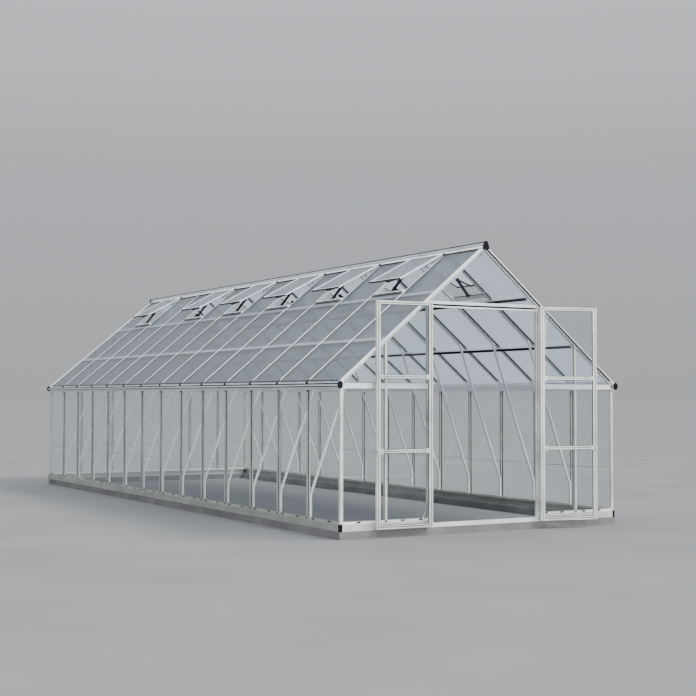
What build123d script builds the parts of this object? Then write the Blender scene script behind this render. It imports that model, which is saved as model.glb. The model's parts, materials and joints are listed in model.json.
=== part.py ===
"""Aluminium glasshouse on a galvanised base and a low concrete kerb.

The house is fourteen bays long and one span wide. Its walls are clear sheet between slotted studs, its roof is
milky sheet between slotted rafters, and a pair of tall doors stands folded back against the front gable.
X runs across the house, Y from the front gable (with the doors) to the back one, Z up from the kerb's underside.
Most pieces are drawn on the right-hand side (positive X) and mirrored to the left.
"""
from build123d import *
from math import atan2, cos, degrees, radians, sin, tan
import os

# House
bay = 610
bay_count = 14
half_width = 1543
eave_height = 1390
ridge_height = 2670

# Kerb and base
kerb_height = 70
kerb_width = 100
kerb_chamfer = 4
base_rail_height = 65
base_rail_depth = 38
base_rail_wall = 2.5
base_overhang = 8
connector_size = 40
connector_face = 26
connector_proud = 1

# Slotted bars that hold the sheets: studs and rafters
bar_cap = 26
bar_wall = 3
bar_web = 8
bar_body = 20
bar_depth = 30
clear_sheet = 3
roof_sheet = 6
sheet_gap = 0.3

# Posts, sills and eaves
post_size = 30
post_arm = 16
profile_wall = 3
sill_height = 20
sill_back = 10
beam_height = 50
beam_bottom = 1325
slot_depth = 8
head_leg = 23
head_drop = 10
eave_box = 30
gutter_reach = 30
gutter_wall_height = 24
gutter_lip = 10
eave_lip_top = 1386
gutter_cap_half = 25
gutter_cap_top = 38
gutter_cap_bottom = 36
gutter_cap_foot = 9
gutter_cap_shoulder = 16
clip_width = 28
clip_front = 8
clip_drop = 18
clip_back = 20
clip_thickness = 5

# Gable edges: how far rafter caps, ridge and gutters stand out over each gable, and the moulded caps on their ends
gable_overhang = 22
rafter_lip = 12
end_cap_thickness = 10
end_cap_chamfer = 3

# Ridge and purlins
ridge_web = 4
ridge_leg = 45
ridge_drop = 95
ridge_foot = 30
ridge_seat = 35
crest_neck = 10
crest_neck_top = 10
crest_width = 28
crest_top = 24
trim_width = 24
trim_height = 11
ridge_cap_side = 10
ridge_cap_crown = 17
ridge_cap_top = 39
ridge_cap_half = 36
ridge_cap_edge = 18
ridge_cap_low = 40
bead_radius = 4
upper_purlin_row = 697
purlin_width = 40
purlin_depth = 20
purlin_wall = 3

# Bent braces from each stud to its rafter
brace_width = 22
brace_depth = 16
brace_bend_height = 355
brace_knee = 1300
brace_top = 722
brace_bend_radius = 40

# Roof vents
vent_bays = (1, 3, 5, 7, 9, 12)
vent_angle = 11.7
vent_length = 560
vent_width = 600
vent_bar = 22
vent_thickness = 14
vent_underside = 3
vent_sheet = 4
vent_sheet_height = 2
vent_groove = 6
vent_sill_top = 617
vent_sill_bottom = 655
vent_sill_rise = 7
vent_sill_tongue = 15
opener_foot = (598, -14)
opener_knee = (402, 24)
opener_rail = (566, 86)
opener_width = 30
opener_tube = 11
opener_arm = 12
opener_bracket = 17
opener_pin_sides = 8

# Gables and doorway
gable_stud_x = 1074
inner_stud_x = 606
door_half_width = 600
door_post_width = 36
door_stop = 5
header_gap = 3
header_height = 58
header_lip = 14
header_groove = 16
header_groove_depth = 18
threshold_height = 35
threshold_depth = 45
threshold_groove = 5
joint_height = 545
joint_strip = 8
joint_strip_thickness = 5
joint_web = 3

# Brackets at the feet of the door posts
gusset_reach = 62
gusset_height = 97
gusset_band = 9
gusset_thickness = 3
gusset_set_back = 10
foot_bracket_height = 150
foot_bracket_depth = 22
foot_bracket_leg = 30
foot_bracket_wall = 3

# Door leaves, their hinges and how far the right one stands from the gable
leaf_reach = 600
leaf_hinge_gap = 8
leaf_thickness = 25
leaf_offset = 2
leaf_bottom = 80
leaf_below_header = 20
leaf_stile = 40
leaf_rail = 30
leaf_groove = 6
leaf_groove_depth = 6
leaf_groove_edge = 14
leaf_mid_rail = 767
leaf_transom = 1432
hinge_x = 606
hinge_stand_off = 33
hinge_from_end = 215
hinge_height = 60
hinge_knuckle = 22
hinge_radius = 4
knuckle_sides = 12
hinge_arm = 5
hinge_plate = 3
hinge_post_plate = 12
hinge_leaf_plate = 24
hinge_gap = 0.3
right_leaf_swing = 12

# Plates where a leaf's rails meet its stiles, and the latches on the free stiles
rail_plate_width = 46
rail_plate_height = 42
rail_plate_thickness = 2
rail_plate_edge = 24
latch_width = 22
latch_bolt = 5
latch_bolt_height = 16
latch_height = 62
latch_thickness = 6
latch_knob = 9
latch_knob_length = 12
latch_knob_sides = 16

# Worked out from the sizes above
length = bay * bay_count
pitch = degrees(atan2(ridge_height - eave_height, half_width))
slope_sin = sin(radians(pitch))
slope_cos = cos(radians(pitch))
slope_tan = tan(radians(pitch))
swing = radians(right_leaf_swing)
knob_edge = leaf_reach - latch_width / 2 + latch_knob
knob_front = leaf_offset + leaf_thickness + latch_thickness + latch_knob_length
leaf_front = hinge_stand_off + knob_edge * sin(swing) + knob_front * cos(swing)
middle_y = (leaf_front - gable_overhang - end_cap_thickness) / 2
bar_lines = [middle_y - length / 2 + i * bay for i in range(bay_count + 1)]
inner_lines = bar_lines[1:-1]
bay_centres = [(a + b) / 2 for a, b in zip(bar_lines, bar_lines[1:])]
front_y = bar_lines[0] - post_size / 2
back_y = bar_lines[-1] + post_size / 2
frame_length = back_y - front_y
roof_run = frame_length + 2 * gable_overhang
base_top = kerb_height + base_rail_height
base_face = half_width + base_overhang
sill_top = base_top + sill_height
clear_slot = clear_sheet + 2 * sheet_gap
roof_slot = roof_sheet + 2 * sheet_gap
post_slot = post_size / 2 - bar_web / 2
sheet_width = bay - bar_web - 2 * sheet_gap
sheet_outer = bar_wall + sheet_gap
head_bottom = beam_bottom - head_drop
head_top = head_bottom + head_leg
seat_height = head_top + eave_box
vent_lines = [bay_centres[i] for i in vent_bays]
plain_lines = [y for i, y in enumerate(bay_centres) if i not in vent_bays]
down_slope = Vector(slope_cos, 0, -slope_sin)
outward = Vector(slope_sin, 0, slope_cos)
middle_plane = Plane.XZ.offset(-middle_y)


def slope_xz(down, out):
    """Point of the right slope, down from the ridge line and out from the roof line, as x and z."""
    return (down * slope_cos + out * slope_sin, ridge_height - down * slope_sin + out * slope_cos)


def slope_point(down, out):
    """The same point in space, on the middle of the house's width of Y."""
    x, z = slope_xz(down, out)
    return Vector(x, 0, z)


def roof_line(x, out=0):
    """Height of the roof line over a place x of the right slope, or of a line parallel to it."""
    return ridge_height - x * slope_tan + out / slope_cos


def block(x0, y0, x1, y1, mode=Mode.ADD):
    """Rectangle between two corners of the sketch."""
    with Locations(((x0 + x1) / 2, (y0 + y1) / 2)):
        Rectangle(abs(x1 - x0), abs(y1 - y0), mode=mode)


def bar_section(slot):
    """Section of a slotted bar: cap outside at y 0, web between the two sheets, open channel inside."""
    body = bar_wall + slot
    with BuildSketch() as section:
        block(-bar_cap / 2, -bar_wall, bar_cap / 2, 0)
        block(-bar_web / 2, -body, bar_web / 2, -bar_wall)
        block(-bar_body / 2, -bar_depth, bar_body / 2, -body)
        block(-bar_body / 2 + bar_wall, -bar_depth, bar_body / 2 - bar_wall, -body - bar_wall, Mode.SUBTRACT)
    return section.sketch


def down_plane(x, y, z, facing):
    """Plane that looks down from height z, with its own y axis pointing out of the house along facing."""
    across = Vector(*facing).cross(Vector(0, 0, -1))
    return Plane(origin=(x, y, z), x_dir=across, z_dir=(0, 0, -1))


def run_plane(y):
    """Upright plane across the house, from which sections run to the front."""
    return Plane.XZ.offset(-y)


def gable_bar(section, x0, x1, back=False, out=0):
    """Runs a section of the open builder between two places of the front gable, or of the back one."""
    if back:
        plane = Plane(origin=(x0, back_y + out, 0), x_dir=(0, 1, 0), z_dir=(1, 0, 0))
    else:
        plane = Plane(origin=(x1, front_y - out, 0), x_dir=(0, -1, 0), z_dir=(-1, 0, 0))
    with BuildSketch(plane) as end:
        add(section)
    extrude(end.sketch, amount=x1 - x0)


slope_section = Plane(origin=slope_point(0, 0) - down_slope * bar_depth, x_dir=(0, 1, 0), z_dir=down_slope)
slope_plane = Plane(origin=slope_point(0, 0), x_dir=down_slope, z_dir=outward)
slope_length = half_width / slope_cos + 2 * bar_depth

os.makedirs("parts", exist_ok=True)

# Concrete kerb: two strips under the walls and two under the gables
with BuildPart() as plinth_sides:
    with BuildSketch(run_plane(back_y + base_overhang)):
        block(base_face - kerb_width, 0, base_face, kerb_height)
    extrude(amount=frame_length + 2 * base_overhang)
    top_outer = plinth_sides.edges().filter_by(Axis.Y).group_by(Axis.Z)[-1].sort_by(Axis.X)[-1]
    chamfer(top_outer, kerb_chamfer)
    mirror(about=Plane.YZ)
plinth_sides.part.label = "plinth_sides"
export_step(plinth_sides.part, "parts/plinth_sides.step")

with BuildPart() as plinth_ends:
    with BuildSketch(Plane.XY):
        block(kerb_width - base_face, front_y - base_overhang, base_face - kerb_width,
              front_y - base_overhang + kerb_width)
    extrude(amount=kerb_height)
    top_outer = plinth_ends.edges().filter_by(Axis.X).group_by(Axis.Z)[-1].sort_by(Axis.Y)[0]
    chamfer(top_outer, kerb_chamfer)
    mirror(about=middle_plane)
plinth_ends.part.label = "plinth_ends"
export_step(plinth_ends.part, "parts/plinth_ends.step")


# Galvanised base: channels along the sides and gables, joined by moulded corner blocks
half_wall = base_rail_wall / 2
with BuildSketch() as base_channel:
    with BuildLine():
        Polyline((-base_rail_depth, kerb_height + half_wall), (-half_wall, kerb_height + half_wall),
                 (-half_wall, base_top - half_wall), (-base_rail_depth, base_top - half_wall))
    trace(line_width=base_rail_wall)

side_rail_end = connector_size - base_overhang + sheet_gap
rail_tongue = connector_size - connector_face
with BuildPart() as side_base_rails:
    with BuildSketch(Plane(origin=(base_face, back_y - side_rail_end, 0), x_dir=(1, 0, 0), z_dir=(0, -1, 0))):
        add(base_channel.sketch)
    extrude(amount=frame_length - 2 * side_rail_end)
    with BuildSketch(run_plane(back_y - side_rail_end + rail_tongue)):
        block(base_face - base_rail_wall, kerb_height, base_face, base_top)
    extrude(amount=frame_length - 2 * (side_rail_end - rail_tongue))
    mirror(about=Plane.YZ)
side_base_rails.part.label = "side_base_rails"
export_step(side_base_rails.part, "parts/side_base_rails.step")

rail_end_x = base_face - connector_size - sheet_gap
post_outer_x = door_half_width + door_post_width
with BuildSketch() as rail_web:
    block(-base_rail_wall, kerb_height, 0, base_top)
tongue_end_x = rail_end_x + rail_tongue
with BuildPart() as gable_base_rails:
    gable_bar(base_channel.sketch, post_outer_x, rail_end_x, False, base_overhang)
    gable_bar(rail_web.sketch, rail_end_x, tongue_end_x, False, base_overhang)
    mirror(about=Plane.YZ)
    gable_bar(base_channel.sketch, -rail_end_x, rail_end_x, True, base_overhang)
    gable_bar(rail_web.sketch, -tongue_end_x, tongue_end_x, True, base_overhang)
gable_base_rails.part.label = "gable_base_rails"
export_step(gable_base_rails.part, "parts/gable_base_rails.step")

with BuildPart() as base_corner_connectors:
    base_front = front_y - base_overhang
    connector_face_x = base_face + connector_proud
    connector_face_y = base_front - connector_proud
    with BuildSketch(Plane.XY.offset(kerb_height)):
        block(base_face - connector_size, connector_face_y, connector_face_x, base_front + connector_size)
        block(base_face - base_rail_wall - sheet_gap, base_front + connector_face, connector_face_x,
              base_front + connector_size, Mode.SUBTRACT)
        block(base_face - connector_size, connector_face_y, base_face - connector_face,
              base_front + base_rail_wall + sheet_gap, Mode.SUBTRACT)
    extrude(amount=base_rail_height)
    outer_corner = base_corner_connectors.edges().filter_by(Axis.Z).sort_by(lambda e: e.center().X - e.center().Y)[-1]
    chamfer(outer_corner, 2 * connector_proud)
    mirror(about=Plane.YZ)
    mirror(about=middle_plane)
base_corner_connectors.part.label = "base_corner_connectors"
export_step(base_corner_connectors.part, "parts/base_corner_connectors.step")

with BuildPart() as door_threshold:
    with BuildSketch(Plane(origin=(-door_half_width, front_y, kerb_height), x_dir=(0, 1, 0), z_dir=(1, 0, 0))):
        block(0, 0, threshold_depth, threshold_height)
        with Locations(*[(threshold_depth * k / 4, threshold_height) for k in (1, 2, 3)]):
            Rectangle(threshold_groove, threshold_groove, mode=Mode.SUBTRACT)
    extrude(amount=2 * door_half_width)
door_threshold.part.label = "door_threshold"
export_step(door_threshold.part, "parts/door_threshold.step")


# Sills: a channel with a slot for the sheets, on top of the base
half_wall = profile_wall / 2
with BuildSketch() as sill_section:
    with BuildLine():
        Polyline((-half_wall, sill_top), (-half_wall, base_top + half_wall),
                 (half_wall - post_size, base_top + half_wall), (half_wall - post_size, base_top + sill_back))
    trace(line_width=profile_wall)
    block(-bar_wall - clear_slot - profile_wall, base_top, -bar_wall - clear_slot, sill_top)

with BuildPart() as side_wall_sills:
    with BuildSketch(Plane(origin=(half_width, back_y - post_size, 0), x_dir=(1, 0, 0), z_dir=(0, -1, 0))):
        add(sill_section.sketch)
    extrude(amount=frame_length - 2 * post_size)
    mirror(about=Plane.YZ)
side_wall_sills.part.label = "side_wall_sills"
export_step(side_wall_sills.part, "parts/side_wall_sills.step")

post_inner_x = half_width - post_size
with BuildPart() as gable_sills:
    gable_bar(sill_section.sketch, post_outer_x, post_inner_x)
    mirror(about=Plane.YZ)
    gable_bar(sill_section.sketch, -post_inner_x, post_inner_x, True)
gable_sills.part.label = "gable_sills"
export_step(gable_sills.part, "parts/gable_sills.step")

# Corner posts: angles with a slot in each arm's end
with BuildPart() as corner_posts:
    with BuildSketch(Plane.XY.offset(base_top)):
        block(post_inner_x, front_y, half_width, front_y + post_size)
        block(post_inner_x, front_y + post_arm, half_width - post_arm, front_y + post_size, Mode.SUBTRACT)
        block(half_width - bar_wall - clear_slot, front_y + post_size - post_slot, half_width - bar_wall,
              front_y + post_size, Mode.SUBTRACT)
        block(post_inner_x, front_y + bar_wall, post_inner_x + post_slot, front_y + bar_wall + clear_slot,
              Mode.SUBTRACT)
    extrude(amount=head_top - base_top)
    mirror(about=Plane.YZ)
    mirror(about=middle_plane)
corner_posts.part.label = "corner_posts"
export_step(corner_posts.part, "parts/corner_posts.step")

# Wall studs, one under each rafter
with BuildPart() as right_wall_studs:
    with BuildSketch(down_plane(half_width, 0, head_bottom, (1, 0, 0))):
        with Locations(*[(y, 0) for y in inner_lines]):
            add(bar_section(clear_slot))
    extrude(amount=head_bottom - sill_top)
right_wall_studs.part.label = "right_wall_studs"
export_step(right_wall_studs.part, "parts/right_wall_studs.step")

with BuildPart() as left_wall_studs:
    mirror(right_wall_studs.part, about=Plane.YZ)
left_wall_studs.part.label = "left_wall_studs"
export_step(left_wall_studs.part, "parts/left_wall_studs.step")

# Wall sheets: a low one and a tall one in each bay, joined by a clear strip
sheet_bottom = base_top + profile_wall + sheet_gap
sheet_head = head_top - sheet_gap
joint_gap = joint_web / 2 + sheet_gap


def sheet_plane(x):
    """Upright plane along the wall at x, its own x axis along Y and its normal inward."""
    return Plane(origin=(x, 0, 0), x_dir=(0, -1, 0), z_dir=(-1, 0, 0))


with BuildPart() as right_wall_sheets:
    with BuildSketch(sheet_plane(half_width - sheet_outer)):
        for y in bay_centres:
            block(-y - sheet_width / 2, sheet_bottom, -y + sheet_width / 2, joint_height - joint_gap)
            block(-y - sheet_width / 2, joint_height + joint_gap, -y + sheet_width / 2, sheet_head)
    extrude(amount=clear_sheet)
right_wall_sheets.part.label = "right_wall_sheets"
export_step(right_wall_sheets.part, "parts/right_wall_sheets.step")

with BuildPart() as left_wall_sheets:
    mirror(right_wall_sheets.part, about=Plane.YZ)
left_wall_sheets.part.label = "left_wall_sheets"
export_step(left_wall_sheets.part, "parts/left_wall_sheets.step")


strip_edge = (joint_strip_thickness - clear_slot) / 2
strip_outer = bar_wall - strip_edge
strip_length = bay - post_size - 2 * sheet_gap
with BuildSketch() as joint_section:
    block(-strip_outer - joint_strip_thickness, joint_height - joint_strip / 2, -strip_outer,
          joint_height + joint_strip / 2)
    for side in (-1, 1):
        block(-bar_wall - clear_slot, joint_height + side * joint_web / 2, -bar_wall,
              joint_height + side * joint_strip / 2, Mode.SUBTRACT)

with BuildPart() as wall_joint_strips:
    for y in bay_centres:
        with BuildSketch(Plane(origin=(half_width, y + strip_length / 2, 0), x_dir=(1, 0, 0), z_dir=(0, -1, 0))):
            add(joint_section.sketch)
        extrude(amount=strip_length)
    mirror(about=Plane.YZ)
wall_joint_strips.part.label = "wall_joint_strips"
export_step(wall_joint_strips.part, "parts/wall_joint_strips.step")

# Eave: head of the wall, box under the rafters, upper lip and gutter, in one profile
with BuildPart() as eave_gutters:
    gutter_floor = head_top + half_wall
    lip_x = half_width + half_wall
    outer_x = half_width + gutter_reach - half_wall
    gutter_rim = head_top + gutter_wall_height - half_wall
    with BuildSketch(run_plane(back_y)):
        block(post_inner_x, head_top, half_width, seat_height)
        block(post_inner_x + profile_wall, head_top + profile_wall, half_width - profile_wall,
              seat_height - profile_wall, Mode.SUBTRACT)
    extrude(amount=frame_length)
    with BuildSketch(run_plane(back_y + gable_overhang)):
        with BuildLine():
            Polyline((lip_x, eave_lip_top), (lip_x, gutter_floor), (outer_x, gutter_floor), (outer_x, gutter_rim),
                     (half_width + gutter_reach - gutter_lip, gutter_rim))
        trace(line_width=profile_wall)
    extrude(amount=roof_run)
    with BuildSketch(run_plane(back_y - post_size)):
        block(half_width - bar_wall, head_bottom, half_width, head_top)
        block(half_width - 2 * bar_wall - clear_slot, head_bottom, half_width - bar_wall - clear_slot, head_top)
        block(post_inner_x, head_bottom, post_inner_x + profile_wall, head_top)
    extrude(amount=frame_length - 2 * post_size)
    mirror(about=Plane.YZ)
eave_gutters.part.label = "eave_gutters"
export_step(eave_gutters.part, "parts/eave_gutters.step")

with BuildPart() as gutter_end_caps:
    cap_x = half_width + gutter_reach / 2
    cap_z = (head_top + eave_lip_top) / 2 - profile_wall
    inner, outer = cap_x - gutter_cap_half, cap_x + gutter_cap_half
    shoulder, hip = cap_z + gutter_cap_shoulder, cap_z - gutter_cap_shoulder
    with BuildSketch(run_plane(front_y - gable_overhang)):
        with BuildLine():
            Polyline((cap_x, cap_z + gutter_cap_top), (outer, shoulder), (outer, hip),
                     (cap_x + gutter_cap_foot, cap_z - gutter_cap_bottom),
                     (cap_x - gutter_cap_foot, cap_z - gutter_cap_bottom), (inner, hip), (inner, shoulder), close=True)
        make_face()
    extrude(amount=end_cap_thickness)
    chamfer(gutter_end_caps.faces().sort_by(Axis.Y)[0].edges(), end_cap_chamfer)
    mirror(about=Plane.YZ)
    mirror(about=middle_plane)
gutter_end_caps.part.label = "gutter_end_caps"
export_step(gutter_end_caps.part, "parts/gutter_end_caps.step")

# Moulded clips that hook over the eave lip and hold each rafter's foot
with BuildPart() as rafter_foot_clips:
    clip_inner_x = half_width + profile_wall
    clip_outer_x = clip_inner_x + clip_front
    clip_top_x = half_width - clip_back
    for y in inner_lines:
        with BuildSketch(run_plane(y + clip_width / 2)):
            with BuildLine():
                Polyline((clip_inner_x, eave_lip_top - clip_drop), (clip_outer_x, eave_lip_top - clip_drop),
                         (clip_outer_x, roof_line(clip_outer_x, clip_thickness)),
                         (clip_top_x, roof_line(clip_top_x, clip_thickness)), (clip_top_x, roof_line(clip_top_x)),
                         (clip_inner_x, roof_line(clip_inner_x)), close=True)
            make_face()
        extrude(amount=clip_width)
    mirror(about=Plane.YZ)
rafter_foot_clips.part.label = "rafter_foot_clips"
export_step(rafter_foot_clips.part, "parts/rafter_foot_clips.step")

# Ridge: cap with a crest and hinge beads over the rafters, web and seats between them
bead_centre = (ridge_leg, bead_radius)
with BuildPart() as ridge_beam:
    leg_x, leg_z = slope_xz(ridge_leg, half_wall)
    seat_x, seat_z = slope_xz(ridge_seat, -bar_depth - half_wall)
    bead_x, bead_z = slope_xz(*bead_centre)
    with BuildSketch(run_plane(back_y + gable_overhang)):
        with BuildLine():
            Polyline((-leg_x, leg_z), (0, roof_line(0, half_wall)), (leg_x, leg_z))
        trace(line_width=profile_wall)
        with Locations((bead_x, bead_z), (-bead_x, bead_z)):
            Circle(bead_radius)
        block(-crest_neck / 2, ridge_height, crest_neck / 2, ridge_height + crest_neck_top)
        block(-crest_width / 2, ridge_height + crest_neck_top, crest_width / 2, ridge_height + crest_top)
    extrude(amount=roof_run)
    with BuildSketch(run_plane(back_y - post_size - sheet_gap)):
        block(-ridge_web / 2, ridge_height - ridge_drop, ridge_web / 2, ridge_height)
        block(-ridge_foot / 2, ridge_height - ridge_drop, ridge_foot / 2, ridge_height - ridge_drop + profile_wall)
        with BuildLine():
            Polyline((-seat_x, seat_z), (0, roof_line(0, -bar_depth - half_wall)), (seat_x, seat_z))
        trace(line_width=profile_wall)
    extrude(amount=frame_length - 2 * (post_size + sheet_gap))
ridge_beam.part.label = "ridge_beam"
export_step(ridge_beam.part, "parts/ridge_beam.step")

with BuildPart() as ridge_trim:
    with BuildSketch(run_plane(back_y + gable_overhang)):
        block(-trim_width / 2, ridge_height + crest_top, trim_width / 2, ridge_height + crest_top + trim_height)
    extrude(amount=roof_run)
    chamfer(ridge_trim.faces().sort_by(Axis.Z)[-1].edges().filter_by(Axis.Y), end_cap_chamfer)
ridge_trim.part.label = "ridge_trim"
export_step(ridge_trim.part, "parts/ridge_trim.step")

with BuildPart() as ridge_end_caps:
    crown_z = ridge_height + ridge_cap_top
    wing_z = roof_line(ridge_cap_half, ridge_cap_side)
    edge_z = wing_z - ridge_cap_edge
    with BuildSketch(run_plane(front_y - gable_overhang)):
        with BuildLine():
            Polyline((-ridge_cap_crown, crown_z), (ridge_cap_crown, crown_z), (ridge_cap_half, wing_z),
                     (ridge_cap_half, edge_z), (0, ridge_height - ridge_cap_low), (-ridge_cap_half, edge_z),
                     (-ridge_cap_half, wing_z), close=True)
        make_face()
    extrude(amount=end_cap_thickness)
    chamfer(ridge_end_caps.faces().sort_by(Axis.Y)[0].edges(), end_cap_chamfer)
    mirror(about=middle_plane)
ridge_end_caps.part.label = "ridge_end_caps"
export_step(ridge_end_caps.part, "parts/ridge_end_caps.step")


# Rafters, cut plumb at the ridge and seated level on the eave box
def cut_to_slope(ridge_x):
    """Trims the bars of the open builder at the ridge, at the eave lip and on the eave box."""
    split(bisect_by=Plane(origin=(ridge_x, 0, 0), z_dir=(1, 0, 0)), keep=Keep.TOP)
    split(bisect_by=Plane(origin=(half_width, 0, 0), z_dir=(-1, 0, 0)), keep=Keep.TOP)
    split(bisect_by=Plane(origin=(0, 0, seat_height), z_dir=(0, 0, 1)), keep=Keep.TOP)


with BuildPart() as right_rafters:
    with BuildSketch(slope_section):
        with Locations(*[(y, 0) for y in inner_lines]):
            add(bar_section(roof_slot))
    extrude(amount=slope_length)
    cut_to_slope(ridge_web / 2)
right_rafters.part.label = "right_rafters"
export_step(right_rafters.part, "parts/right_rafters.step")

with BuildPart() as left_rafters:
    mirror(right_rafters.part, about=Plane.YZ)
left_rafters.part.label = "left_rafters"
export_step(left_rafters.part, "parts/left_rafters.step")

# Gable rafters: bars that also hold the gable's sheets from above, with a cap that stands out over the gable
with BuildPart() as gable_rafters:
    with BuildSketch(slope_section):
        y = bar_lines[0]
        block(front_y, -bar_depth, front_y + post_size, 0)
        block(front_y - gable_overhang, -rafter_lip, front_y, 0)
        block(y + bar_web / 2, -bar_wall - roof_slot, front_y + post_size, -bar_wall, Mode.SUBTRACT)
        block(front_y + bar_wall, -bar_depth, front_y + bar_wall + clear_slot, slot_depth - bar_depth, Mode.SUBTRACT)
    extrude(amount=slope_length)
    cut_to_slope(sheet_gap)
    mirror(about=Plane.YZ)
    mirror(about=middle_plane)
gable_rafters.part.label = "gable_rafters"
export_step(gable_rafters.part, "parts/gable_rafters.step")


# Purlins: two channels under each slope, between the gable rafters, the lower one over the gable's studs
def purlin_run(down):
    """Adds a purlin of the right slope to the open builder, its open side down the slope."""
    x, z = slope_xz(down, -bar_depth)
    plane = Plane(origin=(x, back_y - post_size, z), x_dir=down_slope, z_dir=(0, -1, 0))
    with BuildSketch(plane) as channel:
        half = purlin_wall / 2
        with BuildLine():
            Polyline((purlin_width / 2, -half), (half - purlin_width / 2, -half),
                     (half - purlin_width / 2, half - purlin_depth), (purlin_width / 2, half - purlin_depth))
        trace(line_width=purlin_wall)
    extrude(channel.sketch, amount=frame_length - 2 * post_size)


with BuildPart() as upper_purlins:
    purlin_run(upper_purlin_row)
    mirror(about=Plane.YZ)
upper_purlins.part.label = "upper_purlins"
export_step(upper_purlins.part, "parts/upper_purlins.step")

with BuildPart() as lower_purlins:
    purlin_run(gable_stud_x / slope_cos)
    mirror(about=Plane.YZ)
lower_purlins.part.label = "lower_purlins"
export_step(lower_purlins.part, "parts/lower_purlins.step")

# Bent braces: up the stud, across to the rafter and on under it
brace_middle = brace_depth / 2
brace_foot_x = half_width - bar_depth - brace_middle
knee_x, knee_z = slope_xz(brace_knee, -bar_depth - brace_middle)
brace_end_x, brace_end_z = slope_xz(brace_top, -bar_depth - brace_middle)
with BuildPart() as right_braces:
    for y in inner_lines:
        with BuildSketch(run_plane(y + brace_width / 2)):
            with BuildLine():
                FilletPolyline((brace_foot_x, sill_top), (brace_foot_x, brace_bend_height), (knee_x, knee_z),
                               (brace_end_x, brace_end_z), radius=brace_bend_radius)
            trace(line_width=brace_depth)
        extrude(amount=brace_width)
right_braces.part.label = "right_braces"
export_step(right_braces.part, "parts/right_braces.step")

with BuildPart() as left_braces:
    mirror(right_braces.part, about=Plane.YZ)
left_braces.part.label = "left_braces"
export_step(left_braces.part, "parts/left_braces.step")

# Roof sheets: from the ridge in a plain bay, from the vent's sill in a vent bay
sheet_under = -bar_wall - sheet_gap - roof_sheet
ridge_start = (ridge_web / 2 + sheet_gap - sheet_under * slope_sin) / slope_cos
eave_end = (half_width - sheet_gap + sheet_outer * slope_sin) / slope_cos
with BuildPart() as right_roof_sheets:
    with BuildSketch(slope_plane.offset(sheet_under)):
        for y in plain_lines:
            block(ridge_start, y - sheet_width / 2, eave_end, y + sheet_width / 2)
        for y in vent_lines:
            block(vent_sill_bottom + sheet_gap, y - sheet_width / 2, eave_end, y + sheet_width / 2)
    extrude(amount=roof_sheet)
right_roof_sheets.part.label = "right_roof_sheets"
export_step(right_roof_sheets.part, "parts/right_roof_sheets.step")

with BuildPart() as left_roof_sheets:
    mirror(right_roof_sheets.part, about=Plane.YZ)
left_roof_sheets.part.label = "left_roof_sheets"
export_step(left_roof_sheets.part, "parts/left_roof_sheets.step")

# Vent sills between the rafters, over the top edge of the sheet below
sill_span = bay - bar_cap - 2 * sheet_gap
with BuildPart() as vent_sills:
    with BuildSketch(slope_plane.offset(sheet_under)):
        for y in vent_lines:
            block(vent_sill_bottom - vent_sill_tongue, y - sheet_width / 2, vent_sill_bottom, y + sheet_width / 2)
    extrude(amount=roof_sheet)
    with BuildSketch(slope_plane.offset(-bar_wall - sheet_gap)):
        for y in vent_lines:
            block(vent_sill_top, y - sill_span / 2, vent_sill_bottom, y + sill_span / 2)
    extrude(amount=vent_sill_rise + bar_wall + sheet_gap)
    mirror(about=Plane.YZ)
vent_sills.part.label = "vent_sills"
export_step(vent_sills.part, "parts/vent_sills.step")

# Vent sashes, propped open, curled over the bead of the ridge cap
prop = radians(vent_angle)
sash_down = down_slope * cos(prop) + outward * sin(prop)
sash_out = outward * cos(prop) - down_slope * sin(prop)
sash_plane = Plane(origin=slope_point(*bead_centre), x_dir=sash_down, z_dir=sash_out)
sash_start = bead_radius + sheet_gap
with BuildPart() as right_vent_sashes:
    with BuildSketch(sash_plane.offset(-vent_underside)):
        for y in vent_lines:
            block(sash_start, y - vent_width / 2, vent_length, y + vent_width / 2)
            block(sash_start + vent_bar, y - vent_width / 2 + vent_bar, vent_length - vent_bar,
                  y + vent_width / 2 - vent_bar, Mode.SUBTRACT)
    extrude(amount=vent_thickness)
    grow = vent_bar - vent_groove - sheet_gap
    with BuildSketch(sash_plane.offset(vent_sheet_height - sheet_gap)):
        for y in vent_lines:
            block(sash_start + grow, y - vent_width / 2 + grow, vent_length - grow, y + vent_width / 2 - grow)
    extrude(amount=vent_sheet + 2 * sheet_gap, mode=Mode.SUBTRACT)
right_vent_sashes.part.label = "right_vent_sashes"
export_step(right_vent_sashes.part, "parts/right_vent_sashes.step")

with BuildPart() as left_vent_sashes:
    mirror(right_vent_sashes.part, about=Plane.YZ)
left_vent_sashes.part.label = "left_vent_sashes"
export_step(left_vent_sashes.part, "parts/left_vent_sashes.step")

with BuildPart() as right_vent_sheets:
    inset = vent_bar - vent_groove
    with BuildSketch(sash_plane.offset(vent_sheet_height)):
        for y in vent_lines:
            block(sash_start + inset, y - vent_width / 2 + inset, vent_length - inset, y + vent_width / 2 - inset)
    extrude(amount=vent_sheet)
right_vent_sheets.part.label = "right_vent_sheets"
export_step(right_vent_sheets.part, "parts/right_vent_sheets.step")

with BuildPart() as left_vent_sheets:
    mirror(right_vent_sheets.part, about=Plane.YZ)
left_vent_sheets.part.label = "left_vent_sheets"
export_step(left_vent_sheets.part, "parts/left_vent_sheets.step")


# Vent openers: bracket on the sill, tube to the knee, folding arm to the bracket under the sash
def link(start, end, width, across):
    """Flat arm of the open builder between two points of the slope's section, centred on each vent."""
    for y in vent_lines:
        with BuildSketch(run_plane(y + across / 2)) as side:
            with BuildLine():
                Line(slope_xz(*start), slope_xz(*end))
            trace(line_width=width)
        extrude(side.sketch, amount=across)


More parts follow.
